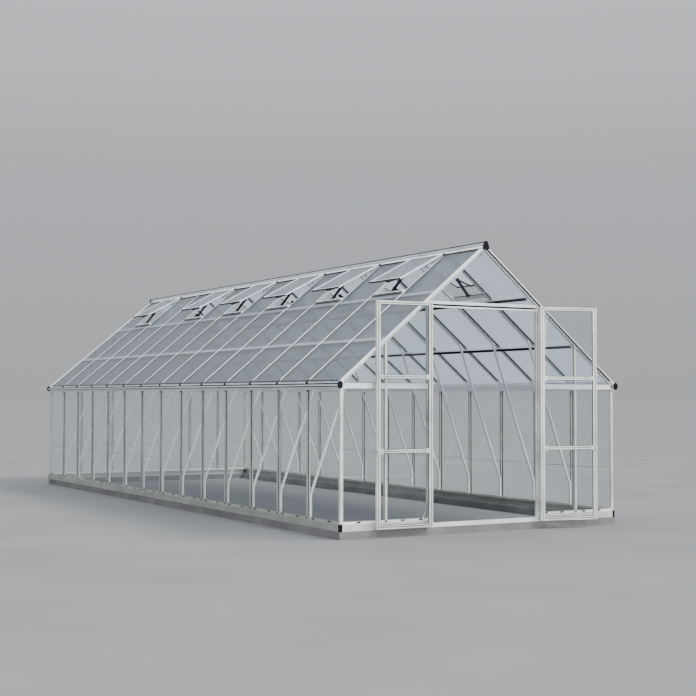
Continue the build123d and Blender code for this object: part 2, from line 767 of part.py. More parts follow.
def pin(centre, radius, across):
    """Round joint of the open builder on a point of the slope's section, centred on each vent."""
    for y in vent_lines:
        with BuildSketch(run_plane(y + across / 2)) as side:
            with Locations(slope_xz(*centre)):
                RegularPolygon(radius, opener_pin_sides)
        extrude(side.sketch, amount=across)


rail_down = vent_length - vent_bar / 2
sash_rail = (bead_centre[0] + rail_down * cos(prop) + vent_underside * sin(prop),
             bead_centre[1] + rail_down * sin(prop) - vent_underside * cos(prop))
with BuildPart() as vent_openers:
    link(opener_foot, (vent_sill_top, opener_foot[1] + opener_bracket), opener_bracket, opener_width)
    link(opener_foot, opener_knee, 2 * opener_tube, 2 * opener_tube)
    pin(opener_foot, opener_bracket, opener_width)
    pin(opener_knee, opener_bracket, opener_width)
    link(opener_knee, opener_rail, opener_arm, opener_arm)
    link(opener_rail, sash_rail, opener_arm, opener_width)
    split(bisect_by=sash_plane.offset(-vent_underside), keep=Keep.BOTTOM)
    split(bisect_by=Plane(origin=slope_point(vent_sill_top, 0), z_dir=down_slope), keep=Keep.BOTTOM)
    mirror(about=Plane.YZ)
vent_openers.part.label = "vent_openers"
export_step(vent_openers.part, "parts/vent_openers.step")


# Gable frames: eave beams, studs, door posts and header
def slotted_beam(bottom, height):
    """Section of a level gable bar, its outer face at x 0, with a slot below and above for the sheets."""
    with BuildSketch() as section:
        block(-post_size, bottom, 0, bottom + height)
        block(-bar_wall - clear_slot, bottom, -bar_wall, bottom + slot_depth, Mode.SUBTRACT)
        block(-bar_wall - clear_slot, bottom + height - slot_depth, -bar_wall, bottom + height, Mode.SUBTRACT)
    return section.sketch


header_top = roof_line(door_half_width, -bar_depth) - header_gap
header_bottom = header_top - header_height
stud_edge = bar_cap / 2
with BuildPart() as gable_beams:
    beam = slotted_beam(beam_bottom, beam_height)
    for back, inner_x in ((False, post_outer_x), (True, inner_stud_x + stud_edge)):
        gable_bar(beam, gable_stud_x + stud_edge, post_inner_x, back)
        gable_bar(beam, inner_x, gable_stud_x - stud_edge, back)
    mirror(about=Plane.YZ)
    gable_bar(beam, -inner_stud_x + stud_edge, inner_stud_x - stud_edge, True)
gable_beams.part.label = "gable_beams"
export_step(gable_beams.part, "parts/gable_beams.step")

with BuildPart() as gable_studs:
    rafter_under = Plane(origin=slope_point(0, -bar_depth), z_dir=outward)
    for face, facing, places in ((front_y, (0, -1, 0), (gable_stud_x,)),
                                 (back_y, (0, 1, 0), (gable_stud_x, inner_stud_x))):
        with BuildSketch(down_plane(0, face, ridge_height, facing)):
            across = 1 if facing[1] < 0 else -1
            with Locations(*[(across * x, 0) for x in places]):
                add(bar_section(clear_slot))
        extrude(amount=ridge_height - sill_top)
    split(bisect_by=rafter_under, keep=Keep.BOTTOM)
    mirror(about=Plane.YZ)
gable_studs.part.label = "gable_studs"
export_step(gable_studs.part, "parts/gable_studs.step")

with BuildPart() as door_posts:
    with BuildSketch(Plane.XY.offset(kerb_height)):
        block(door_half_width, front_y, post_outer_x, front_y + post_size)
        block(door_half_width - door_stop, front_y, door_half_width, front_y + bar_wall)
        block(post_outer_x - post_slot, front_y + bar_wall, post_outer_x, front_y + bar_wall + clear_slot,
              Mode.SUBTRACT)
    extrude(amount=ridge_height - kerb_height)
    split(bisect_by=rafter_under, keep=Keep.BOTTOM)
    with BuildSketch(Plane.XY.offset(kerb_height)):
        block(door_half_width - door_stop, front_y, door_half_width, front_y + bar_wall)
    extrude(amount=threshold_height, mode=Mode.SUBTRACT)
    with BuildSketch(Plane.XY.offset(header_bottom)):
        block(door_half_width - door_stop, front_y, door_half_width, front_y + bar_wall)
    extrude(amount=ridge_height - header_bottom, mode=Mode.SUBTRACT)
    mirror(about=Plane.YZ)
door_posts.part.label = "door_posts"
export_step(door_posts.part, "parts/door_posts.step")

groove_bottom = header_bottom + header_lip
with BuildSketch() as header_section:
    add(slotted_beam(header_bottom, header_height))
    block(-header_groove_depth, groove_bottom, 0, groove_bottom + header_groove, Mode.SUBTRACT)

with BuildPart() as gable_headers:
    gable_bar(header_section.sketch, -door_half_width, door_half_width)
    gable_bar(header_section.sketch, -inner_stud_x + stud_edge, inner_stud_x - stud_edge, True)
gable_headers.part.label = "gable_headers"
export_step(gable_headers.part, "parts/gable_headers.step")


# Brackets at the feet of the door posts: a gusset beside each post and an angle on its reveal
gusset_foot = base_top + profile_wall
angle_foot = kerb_height + threshold_height
angle_x = door_half_width - foot_bracket_wall
with BuildPart() as door_post_brackets:
    with BuildSketch(run_plane(front_y + gusset_set_back + gusset_thickness)):
        with BuildLine():
            Polyline((post_outer_x, gusset_foot), (post_outer_x + gusset_reach, gusset_foot),
                     (post_outer_x, gusset_foot + gusset_height), close=True)
        make_face()
        offset(amount=-gusset_band, mode=Mode.SUBTRACT)
    extrude(amount=gusset_thickness)
    with BuildSketch(run_plane(front_y + bar_wall + foot_bracket_depth)):
        block(angle_x, angle_foot, door_half_width, angle_foot + foot_bracket_height)
        block(door_half_width - foot_bracket_leg, angle_foot, angle_x, angle_foot + foot_bracket_wall)
    extrude(amount=foot_bracket_depth)
    mirror(about=Plane.YZ)
door_post_brackets.part.label = "door_post_brackets"
export_step(door_post_brackets.part, "parts/door_post_brackets.step")


# Gable sheets, cut to the rafters
def under_rafter(x):
    """Height of a gable sheet's upper edge in the rafter's slot, at place x."""
    return roof_line(x, slot_depth - bar_depth - sheet_gap)


stud_web = bar_web / 2 + sheet_gap
slot_reach = slot_depth - sheet_gap
corner_edge = half_width - post_size / 2 - stud_web
beam_under = beam_bottom + slot_reach
beam_over = beam_bottom + beam_height - slot_reach
header_under = header_bottom + slot_reach
header_over = header_top - slot_reach
triangle_edge = post_inner_x - sheet_gap


def sloped_sheet(x0, x1, bottom):
    """Sheet of the open sketch between x0 and x1, from bottom up to the rafter."""
    with BuildLine() as outline:
        Polyline((x0, bottom), (x1, bottom), (x1, under_rafter(x1)), (x0, under_rafter(x0)), close=True)
    make_face(outline.edges())


def side_sheets(inner_edge):
    """Sheets of one side of a gable, from the corner post to the place inner_edge."""
    outer, inner = gable_stud_x + stud_web, gable_stud_x - stud_web
    for x0, x1 in ((outer, corner_edge), (inner_edge, inner)):
        block(x0, sheet_bottom, x1, joint_height - joint_gap)
        block(x0, joint_height + joint_gap, x1, beam_under)
    sloped_sheet(outer, triangle_edge, beam_over)
    sloped_sheet(inner_edge, inner, beam_over)


with BuildPart() as front_gable_sheets:
    with BuildSketch(run_plane(front_y + sheet_outer + clear_sheet)):
        side_sheets(post_outer_x - post_slot + sheet_gap)
        sloped_sheet(sheet_gap, door_half_width - sheet_gap, header_over)
    extrude(amount=clear_sheet)
    mirror(about=Plane.YZ)
front_gable_sheets.part.label = "front_gable_sheets"
export_step(front_gable_sheets.part, "parts/front_gable_sheets.step")

with BuildPart() as back_gable_sheets:
    middle_edge = inner_stud_x - stud_web
    with BuildSketch(run_plane(back_y - sheet_outer)):
        side_sheets(inner_stud_x + stud_web)
        sloped_sheet(sheet_gap, middle_edge, header_over)
    extrude(amount=clear_sheet)
    mirror(about=Plane.YZ)
    with BuildSketch(run_plane(back_y - sheet_outer)):
        block(-middle_edge, sheet_bottom, middle_edge, joint_height - joint_gap)
        block(-middle_edge, joint_height + joint_gap, middle_edge, beam_under)
        block(-middle_edge, beam_over, middle_edge, header_under)
    extrude(amount=clear_sheet)
back_gable_sheets.part.label = "back_gable_sheets"
export_step(back_gable_sheets.part, "parts/back_gable_sheets.step")

with BuildPart() as gable_joint_strips:
    stud_side = stud_edge + sheet_gap
    spans = ((False, gable_stud_x + stud_side, post_inner_x - sheet_gap),
             (False, post_outer_x + sheet_gap, gable_stud_x - stud_side),
             (True, gable_stud_x + stud_side, post_inner_x - sheet_gap),
             (True, inner_stud_x + stud_side, gable_stud_x - stud_side))
    for back, x0, x1 in spans:
        gable_bar(joint_section.sketch, x0, x1, back)
    mirror(about=Plane.YZ)
    gable_bar(joint_section.sketch, stud_side - inner_stud_x, inner_stud_x - stud_side, True)
gable_joint_strips.part.label = "gable_joint_strips"
export_step(gable_joint_strips.part, "parts/gable_joint_strips.step")


# Door leaves, drawn open beside the right-hand hinge and mirrored for the left
def leaf_plane(turn, out):
    """Upright plane of a leaf that stands turn degrees off the gable, out from its hinge axis."""
    angle = radians(turn)
    along = Vector(cos(angle), -sin(angle), 0)
    facing = Vector(-sin(angle), -cos(angle), 0)
    return Plane(origin=(hinge_x, front_y - hinge_stand_off, 0) + facing * out, x_dir=along, z_dir=facing)


leaf_top = header_top - leaf_below_header
hinge_heights = (leaf_bottom + hinge_from_end, (leaf_bottom + leaf_top) / 2, leaf_top - hinge_from_end)
rail_tops = (leaf_bottom + leaf_rail, leaf_mid_rail + leaf_rail / 2, leaf_transom + leaf_rail / 2)
rail_bottoms = (leaf_mid_rail - leaf_rail / 2, leaf_transom - leaf_rail / 2, leaf_top - leaf_rail)


def leaf_windows(grow, mode=Mode.ADD):
    """The three panes of a leaf in the open sketch, each grown into its rebate."""
    for low, high in zip(rail_tops, rail_bottoms):
        block(leaf_hinge_gap + leaf_stile - grow, low - grow, leaf_reach - leaf_stile + grow, high + grow, mode)


def leaf_grooves():
    """Grooves of a leaf's face in the open sketch: one round its edge and one along each middle rail."""
    edge = leaf_groove_edge
    block(leaf_hinge_gap + edge, leaf_bottom + edge, leaf_reach - edge, leaf_top - edge)
    edge += leaf_groove
    block(leaf_hinge_gap + edge, leaf_bottom + edge, leaf_reach - edge, leaf_top - edge, Mode.SUBTRACT)
    for z in (leaf_mid_rail, leaf_transom):
        block(leaf_hinge_gap + leaf_stile, z - leaf_groove / 2, leaf_reach - leaf_stile, z + leaf_groove / 2)


def door_frame(turn):
    """Stiles and rails of a leaf, slotted for its panes, grooved on both faces, with plates at the middle rails."""
    with BuildPart() as leaf:
        with BuildSketch(leaf_plane(turn, leaf_offset)):
            block(leaf_hinge_gap, leaf_bottom, leaf_reach, leaf_top)
            leaf_windows(0, Mode.SUBTRACT)
        extrude(amount=leaf_thickness)
        with BuildSketch(leaf_plane(turn, leaf_offset + leaf_thickness / 2 - clear_slot / 2)):
            leaf_windows(slot_depth)
        extrude(amount=clear_slot, mode=Mode.SUBTRACT)
        for out in (leaf_offset, leaf_offset + leaf_thickness - leaf_groove_depth):
            with BuildSketch(leaf_plane(turn, out)):
                leaf_grooves()
            extrude(amount=leaf_groove_depth, mode=Mode.SUBTRACT)
        with BuildSketch(leaf_plane(turn, leaf_offset + leaf_thickness)):
            for z in (leaf_mid_rail, leaf_transom):
                for x in (leaf_hinge_gap + rail_plate_edge, leaf_reach - rail_plate_edge - rail_plate_width):
                    block(x, z - rail_plate_height / 2, x + rail_plate_width, z + rail_plate_height / 2)
        extrude(amount=rail_plate_thickness)
    return leaf.part


def door_sheets(turn):
    """Panes of a leaf."""
    with BuildPart() as panes:
        with BuildSketch(leaf_plane(turn, leaf_offset + leaf_thickness / 2 - clear_sheet / 2)):
            leaf_windows(slot_reach)
        extrude(amount=clear_sheet)
    return panes.part


def leaf_hinges(turn):
    """Moving halves of a leaf's hinges: a plate on the stile and the middle knuckle of each."""
    with BuildPart() as hinges:
        for z in hinge_heights:
            with BuildSketch(leaf_plane(turn, leaf_offset - hinge_plate)):
                block(0, z - hinge_knuckle / 2, leaf_hinge_gap + hinge_leaf_plate, z + hinge_knuckle / 2)
            extrude(amount=hinge_plate)
            with BuildSketch(Plane(origin=(hinge_x, front_y - hinge_stand_off, z - hinge_knuckle / 2))):
                RegularPolygon(hinge_radius, knuckle_sides)
            extrude(amount=hinge_knuckle)
    return hinges.part


def leaf_latch(turn, bolt):
    """Latch plate with its knob on a leaf's free stile, with a bolt that stands out by the given length."""
    with BuildPart() as latch:
        with BuildSketch(leaf_plane(turn, leaf_offset + leaf_thickness)):
            block(leaf_reach - latch_width, leaf_mid_rail - latch_height / 2, leaf_reach,
                  leaf_mid_rail + latch_height / 2)
            if bolt:
                block(leaf_reach, leaf_mid_rail - latch_bolt_height / 2, leaf_reach + bolt,
                      leaf_mid_rail + latch_bolt_height / 2)
        extrude(amount=latch_thickness)
        with BuildSketch(leaf_plane(turn, leaf_offset + leaf_thickness + latch_thickness)):
            with Locations((leaf_reach - latch_width / 2, leaf_mid_rail)):
                RegularPolygon(latch_knob, latch_knob_sides)
        extrude(amount=latch_knob_length)
    return latch.part


with BuildPart() as left_door_frame:
    mirror(door_frame(0), about=Plane.YZ)
left_door_frame.part.label = "left_door_frame"
export_step(left_door_frame.part, "parts/left_door_frame.step")

with BuildPart() as left_door_sheets:
    mirror(door_sheets(0), about=Plane.YZ)
left_door_sheets.part.label = "left_door_sheets"
export_step(left_door_sheets.part, "parts/left_door_sheets.step")

with BuildPart() as left_door_hinges:
    mirror(leaf_hinges(0), about=Plane.YZ)
left_door_hinges.part.label = "left_door_hinges"
export_step(left_door_hinges.part, "parts/left_door_hinges.step")

with BuildPart() as left_door_latch:
    mirror(leaf_latch(0, 0), about=Plane.YZ)
left_door_latch.part.label = "left_door_latch"
export_step(left_door_latch.part, "parts/left_door_latch.step")

with BuildPart() as right_door_frame:
    add(door_frame(right_leaf_swing))
right_door_frame.part.label = "right_door_frame"
export_step(right_door_frame.part, "parts/right_door_frame.step")

with BuildPart() as right_door_sheets:
    add(door_sheets(right_leaf_swing))
right_door_sheets.part.label = "right_door_sheets"
export_step(right_door_sheets.part, "parts/right_door_sheets.step")

with BuildPart() as right_door_hinges:
    add(leaf_hinges(right_leaf_swing))
right_door_hinges.part.label = "right_door_hinges"
export_step(right_door_hinges.part, "parts/right_door_hinges.step")

with BuildPart() as right_door_latch:
    add(leaf_latch(right_leaf_swing, latch_bolt))
right_door_latch.part.label = "right_door_latch"
export_step(right_door_latch.part, "parts/right_door_latch.step")

# Fixed hinge halves on the door posts: a plate with two arms, each with a knuckle
with BuildPart() as post_hinges:
    knuckle_end = hinge_knuckle / 2 + hinge_gap
    knuckle_length = hinge_height / 2 - knuckle_end
    for z in hinge_heights:
        with BuildSketch(run_plane(front_y)):
            block(hinge_x - hinge_arm / 2, z - hinge_height / 2, hinge_x + hinge_post_plate, z + hinge_height / 2)
        extrude(amount=hinge_plate)
        for bottom in (z - hinge_height / 2, z + knuckle_end):
            with BuildSketch(Plane.XY.offset(bottom)):
                block(hinge_x - hinge_arm / 2, front_y - hinge_stand_off, hinge_x + hinge_arm / 2, front_y)
                with Locations((hinge_x, front_y - hinge_stand_off)):
                    RegularPolygon(hinge_radius, knuckle_sides)
            extrude(amount=knuckle_length)
    mirror(about=Plane.YZ)
post_hinges.part.label = "post_hinges"
export_step(post_hinges.part, "parts/post_hinges.step")
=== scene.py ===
"""Looks of a long aluminium glasshouse: finishes, seals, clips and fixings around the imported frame."""
import json
import math

import bmesh
import bpy
from mathutils import Matrix, Vector


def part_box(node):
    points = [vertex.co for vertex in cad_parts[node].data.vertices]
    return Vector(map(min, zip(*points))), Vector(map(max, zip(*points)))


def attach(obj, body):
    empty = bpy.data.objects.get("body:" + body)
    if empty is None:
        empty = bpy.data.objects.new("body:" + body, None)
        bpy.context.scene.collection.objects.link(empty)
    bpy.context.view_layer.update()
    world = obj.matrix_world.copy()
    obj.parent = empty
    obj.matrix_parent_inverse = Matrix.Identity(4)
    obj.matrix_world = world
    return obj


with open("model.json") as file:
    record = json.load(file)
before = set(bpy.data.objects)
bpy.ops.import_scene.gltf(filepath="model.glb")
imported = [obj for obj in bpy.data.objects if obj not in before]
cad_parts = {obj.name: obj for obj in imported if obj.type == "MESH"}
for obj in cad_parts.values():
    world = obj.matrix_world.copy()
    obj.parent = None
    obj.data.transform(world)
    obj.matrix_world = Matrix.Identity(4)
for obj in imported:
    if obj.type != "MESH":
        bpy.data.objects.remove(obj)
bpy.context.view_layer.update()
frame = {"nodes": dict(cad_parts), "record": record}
MM = 0.001

# Driving sizes of the house, in metres
BAY = 610 * MM
BAYS = 14
EAVE_HEIGHT = 1390 * MM
RIDGE_HEIGHT = 2670 * MM
POST = 30 * MM
# Bays with vents, counted from 0 at the front
VENT_BAYS = (1, 3, 5, 7, 9, 12)
GUTTER_REACH = 30 * MM
LIP_WALL = 3 * MM
GUTTER_FLOOR = 1338 * MM
GUTTER_RIM = 1362 * MM

# Slotted bars and what they hold
BAR_CAP = 26 * MM
BAR_BODY = 20 * MM
BAR_WALL = 3 * MM
CLEAR_SHEET = 3 * MM
ROOF_SHEET = 6 * MM
FIT = 0.3 * MM

# Ridge, purlins, braces and vents
RIDGE_LEG = 45 * MM
UPPER_PURLIN = 697 * MM
PURLIN_WIDTH = 40 * MM
PURLIN_DEPTH = 20 * MM
SPACER_WIDTH = 32 * MM
BRACE_DEPTH = 16 * MM
BRACE_WIDTH = 22 * MM
BRACE_KNEE = 1300 * MM
BRACE_TOP = 722 * MM
VENT_ANGLE = math.radians(11.7)
VENT_LENGTH = 560 * MM
VENT_WIDTH = 600 * MM
VENT_BAR = 22 * MM
VENT_THICKNESS = 14 * MM
VENT_UNDERSIDE = 3 * MM
VENT_BEAD = 4 * MM
OPENER_WIDTH = 30 * MM
SILL_UP = 617 * MM
SILL_DOWN = 655 * MM
SILL_RISE = 7 * MM
OVERHANG = 22 * MM
RAFTER_LIP = 12 * MM

# Doors
DOOR_HALF_WIDTH = 600 * MM
POST_WIDTH = 36 * MM
LEAF_REACH = 600 * MM
LEAF_GAP = 8 * MM
LEAF_BACK = 2 * MM
LEAF_THICKNESS = 25 * MM
LEAF_STILE = 40 * MM
LEAF_RAIL = 30 * MM
LEAF_MID_RAIL = 767 * MM
LEAF_GROOVE_EDGE = 17 * MM
LEAF_GROOVE_DEPTH = 6 * MM
LEAF_TRANSOM = 1432 * MM
LEAF_SWING = {"left_door": 0.0, "right_door": math.radians(12)}

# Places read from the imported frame
post_low, post_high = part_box("corner_posts")
FRONT_Y = post_low.y
BACK_Y = post_high.y
HALF_WIDTH = post_high.x
MIDDLE_Y = (FRONT_Y + BACK_Y) / 2
BASE_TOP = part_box("side_base_rails")[1].z
SILL_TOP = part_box("side_wall_sills")[1].z
STUD_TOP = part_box("right_wall_studs")[1].z
LEAF_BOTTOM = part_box("left_door_frame")[0].z
LEAF_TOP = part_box("left_door_frame")[1].z
HEADER_BOTTOM, HEADER_TOP = (corner.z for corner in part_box("gable_headers"))
BEAM_BOTTOM, BEAM_TOP = (corner.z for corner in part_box("gable_beams"))
BAR_LINES = [FRONT_Y + POST / 2 + i * BAY for i in range(BAYS + 1)]
GABLE_STUD_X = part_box("gable_studs")[1].x - BAR_CAP / 2
PITCH = math.atan2(RIDGE_HEIGHT - EAVE_HEIGHT, HALF_WIDTH)
SLOPE_SIN, SLOPE_COS = math.sin(PITCH), math.cos(PITCH)
EAVE_DOWN = HALF_WIDTH / SLOPE_COS
LOWER_PURLIN = GABLE_STUD_X / SLOPE_COS
PURLINS = (UPPER_PURLIN, LOWER_PURLIN)

# Faces of the roof that pieces are laid on, out from the roof line
SHEET_FACE = -BAR_WALL - FIT
SHEET_BACK = SHEET_FACE - ROOF_SHEET - FIT
RAFTER_BACK = -POST


def linear(hex_colour):
    """sRGB hex to the linear colour that a shader takes."""
    channels = [int(hex_colour[i:i + 2], 16) / 255 for i in (1, 3, 5)]
    return [c / 12.92 if c <= 0.04045 else ((c + 0.055) / 1.055) ** 2.4 for c in channels] + [1.0]


def add_node(owner, kind, settings, links=None):
    """Adds a node: settings go to its sockets or properties, stops to its ramp, and links join it."""
    node = owner.node_tree.nodes.new(kind)
    for name, value in settings.items():
        if name == "stops":
            elements = node.color_ramp.elements
            while len(elements) < len(value):
                elements.new(1.0)
            for element, (place, colour) in zip(elements, value):
                element.position = place
                element.color = linear(colour)
        elif isinstance(name, int) or name in node.inputs:
            node.inputs[name].default_value = value
        else:
            setattr(node, name, value)
    for name, source in (links or {}).items():
        owner.node_tree.links.new(source, node.inputs[name])
    return node


def new_material(name):
    """A material with nothing in it but the object coordinates that its patterns are laid by."""
    material = bpy.data.materials.new(name)
    material.use_nodes = True
    material.node_tree.nodes.clear()
    return material, add_node(material, "ShaderNodeTexCoord", {}).outputs["Object"]


# Finishes
def mill_aluminium(name, line_scale, tones):
    """Mill-finish aluminium extrusion: satin metal with fine die lines along it and faint cloudy oxide, in
    tones that for some bars are darkened as painted shade.
    """
    metal, where = new_material(name)
    along = add_node(metal, "ShaderNodeVectorMath", {"operation": "MULTIPLY", 1: line_scale}, {0: where})
    lines = add_node(metal, "ShaderNodeTexNoise", {"Scale": 1.0, "Detail": 2.0}, {"Vector": along.outputs[0]})
    clouds = add_node(metal, "ShaderNodeTexNoise", {"Scale": 1 / (300 * MM), "Detail": 5.0, "Roughness": 0.6},
                      {"Vector": where})
    colour = add_node(metal, "ShaderNodeValToRGB", {"stops": list(zip((0.3, 0.5, 0.7), tones))},
                      {"Fac": clouds.outputs["Fac"]})
    rough = add_node(metal, "ShaderNodeMapRange", {"To Min": 0.34, "To Max": 0.52},
                     {"Value": clouds.outputs["Fac"]})
    relief = add_node(metal, "ShaderNodeBump", {"Strength": 0.35, "Distance": 0.15 * MM},
                      {"Height": lines.outputs["Fac"]})
    shader = add_node(metal, "ShaderNodeBsdfPrincipled", {"Metallic": 0.55},
                      {"Base Color": colour.outputs["Color"], "Roughness": rough.outputs["Result"],
                       "Normal": relief.outputs["Normal"]})
    add_node(metal, "ShaderNodeOutputMaterial", {}, {"Surface": shader.outputs["BSDF"]})
    return metal


def galvanised_steel(name, dull, fresh):
    """Hot-dip galvanised sheet: pale greenish grey zinc with spangle crystals about 9 mm across."""
    zinc, where = new_material(name)
    crystals = add_node(zinc, "ShaderNodeTexVoronoi", {"Scale": 1 / (9 * MM)}, {"Vector": where})
    tone = add_node(zinc, "ShaderNodeSeparateColor", {}, {"Color": crystals.outputs["Color"]})
    clouds = add_node(zinc, "ShaderNodeTexNoise", {"Scale": 1 / (250 * MM), "Detail": 4.0}, {"Vector": where})
    base = add_node(zinc, "ShaderNodeValToRGB", {"stops": [(0.35, dull), (0.65, fresh)]},
                    {"Fac": clouds.outputs["Fac"]})
    spangle = add_node(zinc, "ShaderNodeValToRGB", {"stops": [(0.0, "#d8d9d6"), (1.0, "#ffffff")]},
                       {"Fac": tone.outputs["Red"]})
    colour = add_node(zinc, "ShaderNodeMix", {"data_type": "RGBA", "blend_type": "MULTIPLY", 0: 1.0},
                      {6: base.outputs["Color"], 7: spangle.outputs["Color"]})
    rough = add_node(zinc, "ShaderNodeMapRange", {"To Min": 0.45, "To Max": 0.62},
                     {"Value": tone.outputs["Red"]})
    relief = add_node(zinc, "ShaderNodeBump", {"Strength": 0.15, "Distance": 1 * MM},
                      {"Height": clouds.outputs["Fac"]})
    shader = add_node(zinc, "ShaderNodeBsdfPrincipled", {"Metallic": 0.4},
                      {"Base Color": colour.outputs[2], "Roughness": rough.outputs["Result"],
                       "Normal": relief.outputs["Normal"]})
    add_node(zinc, "ShaderNodeOutputMaterial", {}, {"Surface": shader.outputs["BSDF"]})
    return zinc


def cast_concrete():
    """Cast concrete: cool grey, cloudy from its shutter, with coarse sand grain and small air holes."""
    concrete, where = new_material("cast_concrete")
    clouds = add_node(concrete, "ShaderNodeTexNoise",
                      {"Scale": 1 / (450 * MM), "Detail": 7.0, "Roughness": 0.65}, {"Vector": where})
    base = add_node(concrete, "ShaderNodeValToRGB",
                    {"stops": [(0.32, "#636265"), (0.5, "#737274"), (0.68, "#848384")]},
                    {"Fac": clouds.outputs["Fac"]})
    grain = add_node(concrete, "ShaderNodeTexNoise", {"Scale": 1 / (3 * MM), "Detail": 2.0},
                     {"Vector": where})
    speckle = add_node(concrete, "ShaderNodeValToRGB", {"stops": [(0.35, "#c8c7c6"), (0.6, "#ffffff")]},
                       {"Fac": grain.outputs["Fac"]})
    sanded = add_node(concrete, "ShaderNodeMix", {"data_type": "RGBA", "blend_type": "MULTIPLY", 0: 0.8},
                      {6: base.outputs["Color"], 7: speckle.outputs["Color"]})
    holes = add_node(concrete, "ShaderNodeTexVoronoi", {"Scale": 1 / (38 * MM)}, {"Vector": where})
    pits = add_node(concrete, "ShaderNodeValToRGB", {"stops": [(0.05, "#5a585a"), (0.11, "#ffffff")]},
                    {"Fac": holes.outputs["Distance"]})
    colour = add_node(concrete, "ShaderNodeMix", {"data_type": "RGBA", "blend_type": "MULTIPLY", 0: 0.9},
                      {6: sanded.outputs[2], 7: pits.outputs["Color"]})
    rough_face = add_node(concrete, "ShaderNodeBump", {"Strength": 0.5, "Distance": 0.6 * MM},
                          {"Height": grain.outputs["Fac"]})
    pitted = add_node(concrete, "ShaderNodeBump", {"Strength": 0.5, "Distance": 2 * MM},
                      {"Height": pits.outputs["Color"], "Normal": rough_face.outputs["Normal"]})
    shader = add_node(concrete, "ShaderNodeBsdfPrincipled", {"Roughness": 0.92, "Specular IOR Level": 0.3},
                      {"Base Color": colour.outputs[2], "Normal": pitted.outputs["Normal"]})
    add_node(concrete, "ShaderNodeOutputMaterial", {}, {"Surface": shader.outputs["BSDF"]})
    return concrete


def black_moulding(name, dark, light, roughest, sheen, grain_size):
    """Moulded nylon or extruded rubber: near black, uneven in tone, its grain drawn coarser so it shows."""
    moulding, where = new_material(name)
    tone = add_node(moulding, "ShaderNodeTexNoise", {"Scale": 1 / (50 * MM), "Detail": 3.0},
                    {"Vector": where})
    colour = add_node(moulding, "ShaderNodeValToRGB", {"stops": [(0.35, dark), (0.65, light)]},
                      {"Fac": tone.outputs["Fac"]})
    grain = add_node(moulding, "ShaderNodeTexNoise", {"Scale": 1 / grain_size, "Detail": 2.0},
                     {"Vector": where})
    rough = add_node(moulding, "ShaderNodeMapRange", {"To Min": roughest - 0.18, "To Max": roughest},
                     {"Value": grain.outputs["Fac"]})
    relief = add_node(moulding, "ShaderNodeBump", {"Strength": 0.4, "Distance": 0.15 * MM},
                      {"Height": grain.outputs["Fac"]})
    shader = add_node(moulding, "ShaderNodeBsdfPrincipled", {"IOR": 1.53, "Specular IOR Level": sheen},
                      {"Base Color": colour.outputs["Color"], "Roughness": rough.outputs["Result"],
                       "Normal": relief.outputs["Normal"]})
    add_node(moulding, "ShaderNodeOutputMaterial", {}, {"Surface": shader.outputs["BSDF"]})
    return moulding


def zinc_plated_steel():
    """Zinc-plated bolt heads: brighter and smoother than the bars, with a slight cold cast."""
    plating, where = new_material("zinc_plated_steel")
    spots = add_node(plating, "ShaderNodeTexNoise", {"Scale": 1 / (4 * MM), "Detail": 2.0}, {"Vector": where})
    colour = add_node(plating, "ShaderNodeValToRGB", {"stops": [(0.3, "#8f9396"), (0.7, "#c3c6c8")]},
                      {"Fac": spots.outputs["Fac"]})
    shader = add_node(plating, "ShaderNodeBsdfPrincipled", {"Metallic": 1.0, "Roughness": 0.3},
                      {"Base Color": colour.outputs["Color"]})
    add_node(plating, "ShaderNodeOutputMaterial", {}, {"Surface": shader.outputs["BSDF"]})
    return plating


def clear_polycarbonate(name, tint, film_share):
    """Extruded clear polycarbonate: all but unseen head on, glossy at a slant, rippled and faintly dusty."""
    sheet, where = new_material(name)
    through = add_node(sheet, "ShaderNodeBsdfTransparent", {"Color": linear(tint)})
    ripple = add_node(sheet, "ShaderNodeTexNoise", {"Scale": 1 / (330 * MM), "Detail": 1.0},
                      {"Vector": where})
    wavy = add_node(sheet, "ShaderNodeBump", {"Strength": 0.06, "Distance": 4 * MM},
                    {"Height": ripple.outputs["Fac"]})
    gloss = add_node(sheet, "ShaderNodeBsdfGlossy", {"Color": linear("#f4f7f8"), "Roughness": 0.02},
                     {"Normal": wavy.outputs["Normal"]})
    facing = add_node(sheet, "ShaderNodeLayerWeight", {"Blend": 0.5})
    slant = add_node(sheet, "ShaderNodeMath", {"operation": "POWER", 1: 5.0}, {0: facing.outputs["Facing"]})
    share = add_node(sheet, "ShaderNodeMapRange", {"To Min": 0.015, "To Max": 0.8},
                     {"Value": slant.outputs[0]})
    seen = add_node(sheet, "ShaderNodeMixShader", {},
                    {0: share.outputs["Result"], 1: through.outputs["BSDF"], 2: gloss.outputs["BSDF"]})
    dust = add_node(sheet, "ShaderNodeBsdfDiffuse", {"Color": linear("#dfe4e6")})
    spread = add_node(sheet, "ShaderNodeTexNoise", {"Scale": 1 / (600 * MM), "Detail": 5.0},
                      {"Vector": where})
    film = add_node(sheet, "ShaderNodeMapRange", {"To Min": 0.0, "To Max": 2 * film_share},
                    {"Value": spread.outputs["Fac"]})
    dusty = add_node(sheet, "ShaderNodeMixShader", {},
                     {0: film.outputs["Result"], 1: seen.outputs["Shader"], 2: dust.outputs["BSDF"]})
    add_node(sheet, "ShaderNodeOutputMaterial", {}, {"Surface": dusty.outputs["Shader"]})
    return sheet


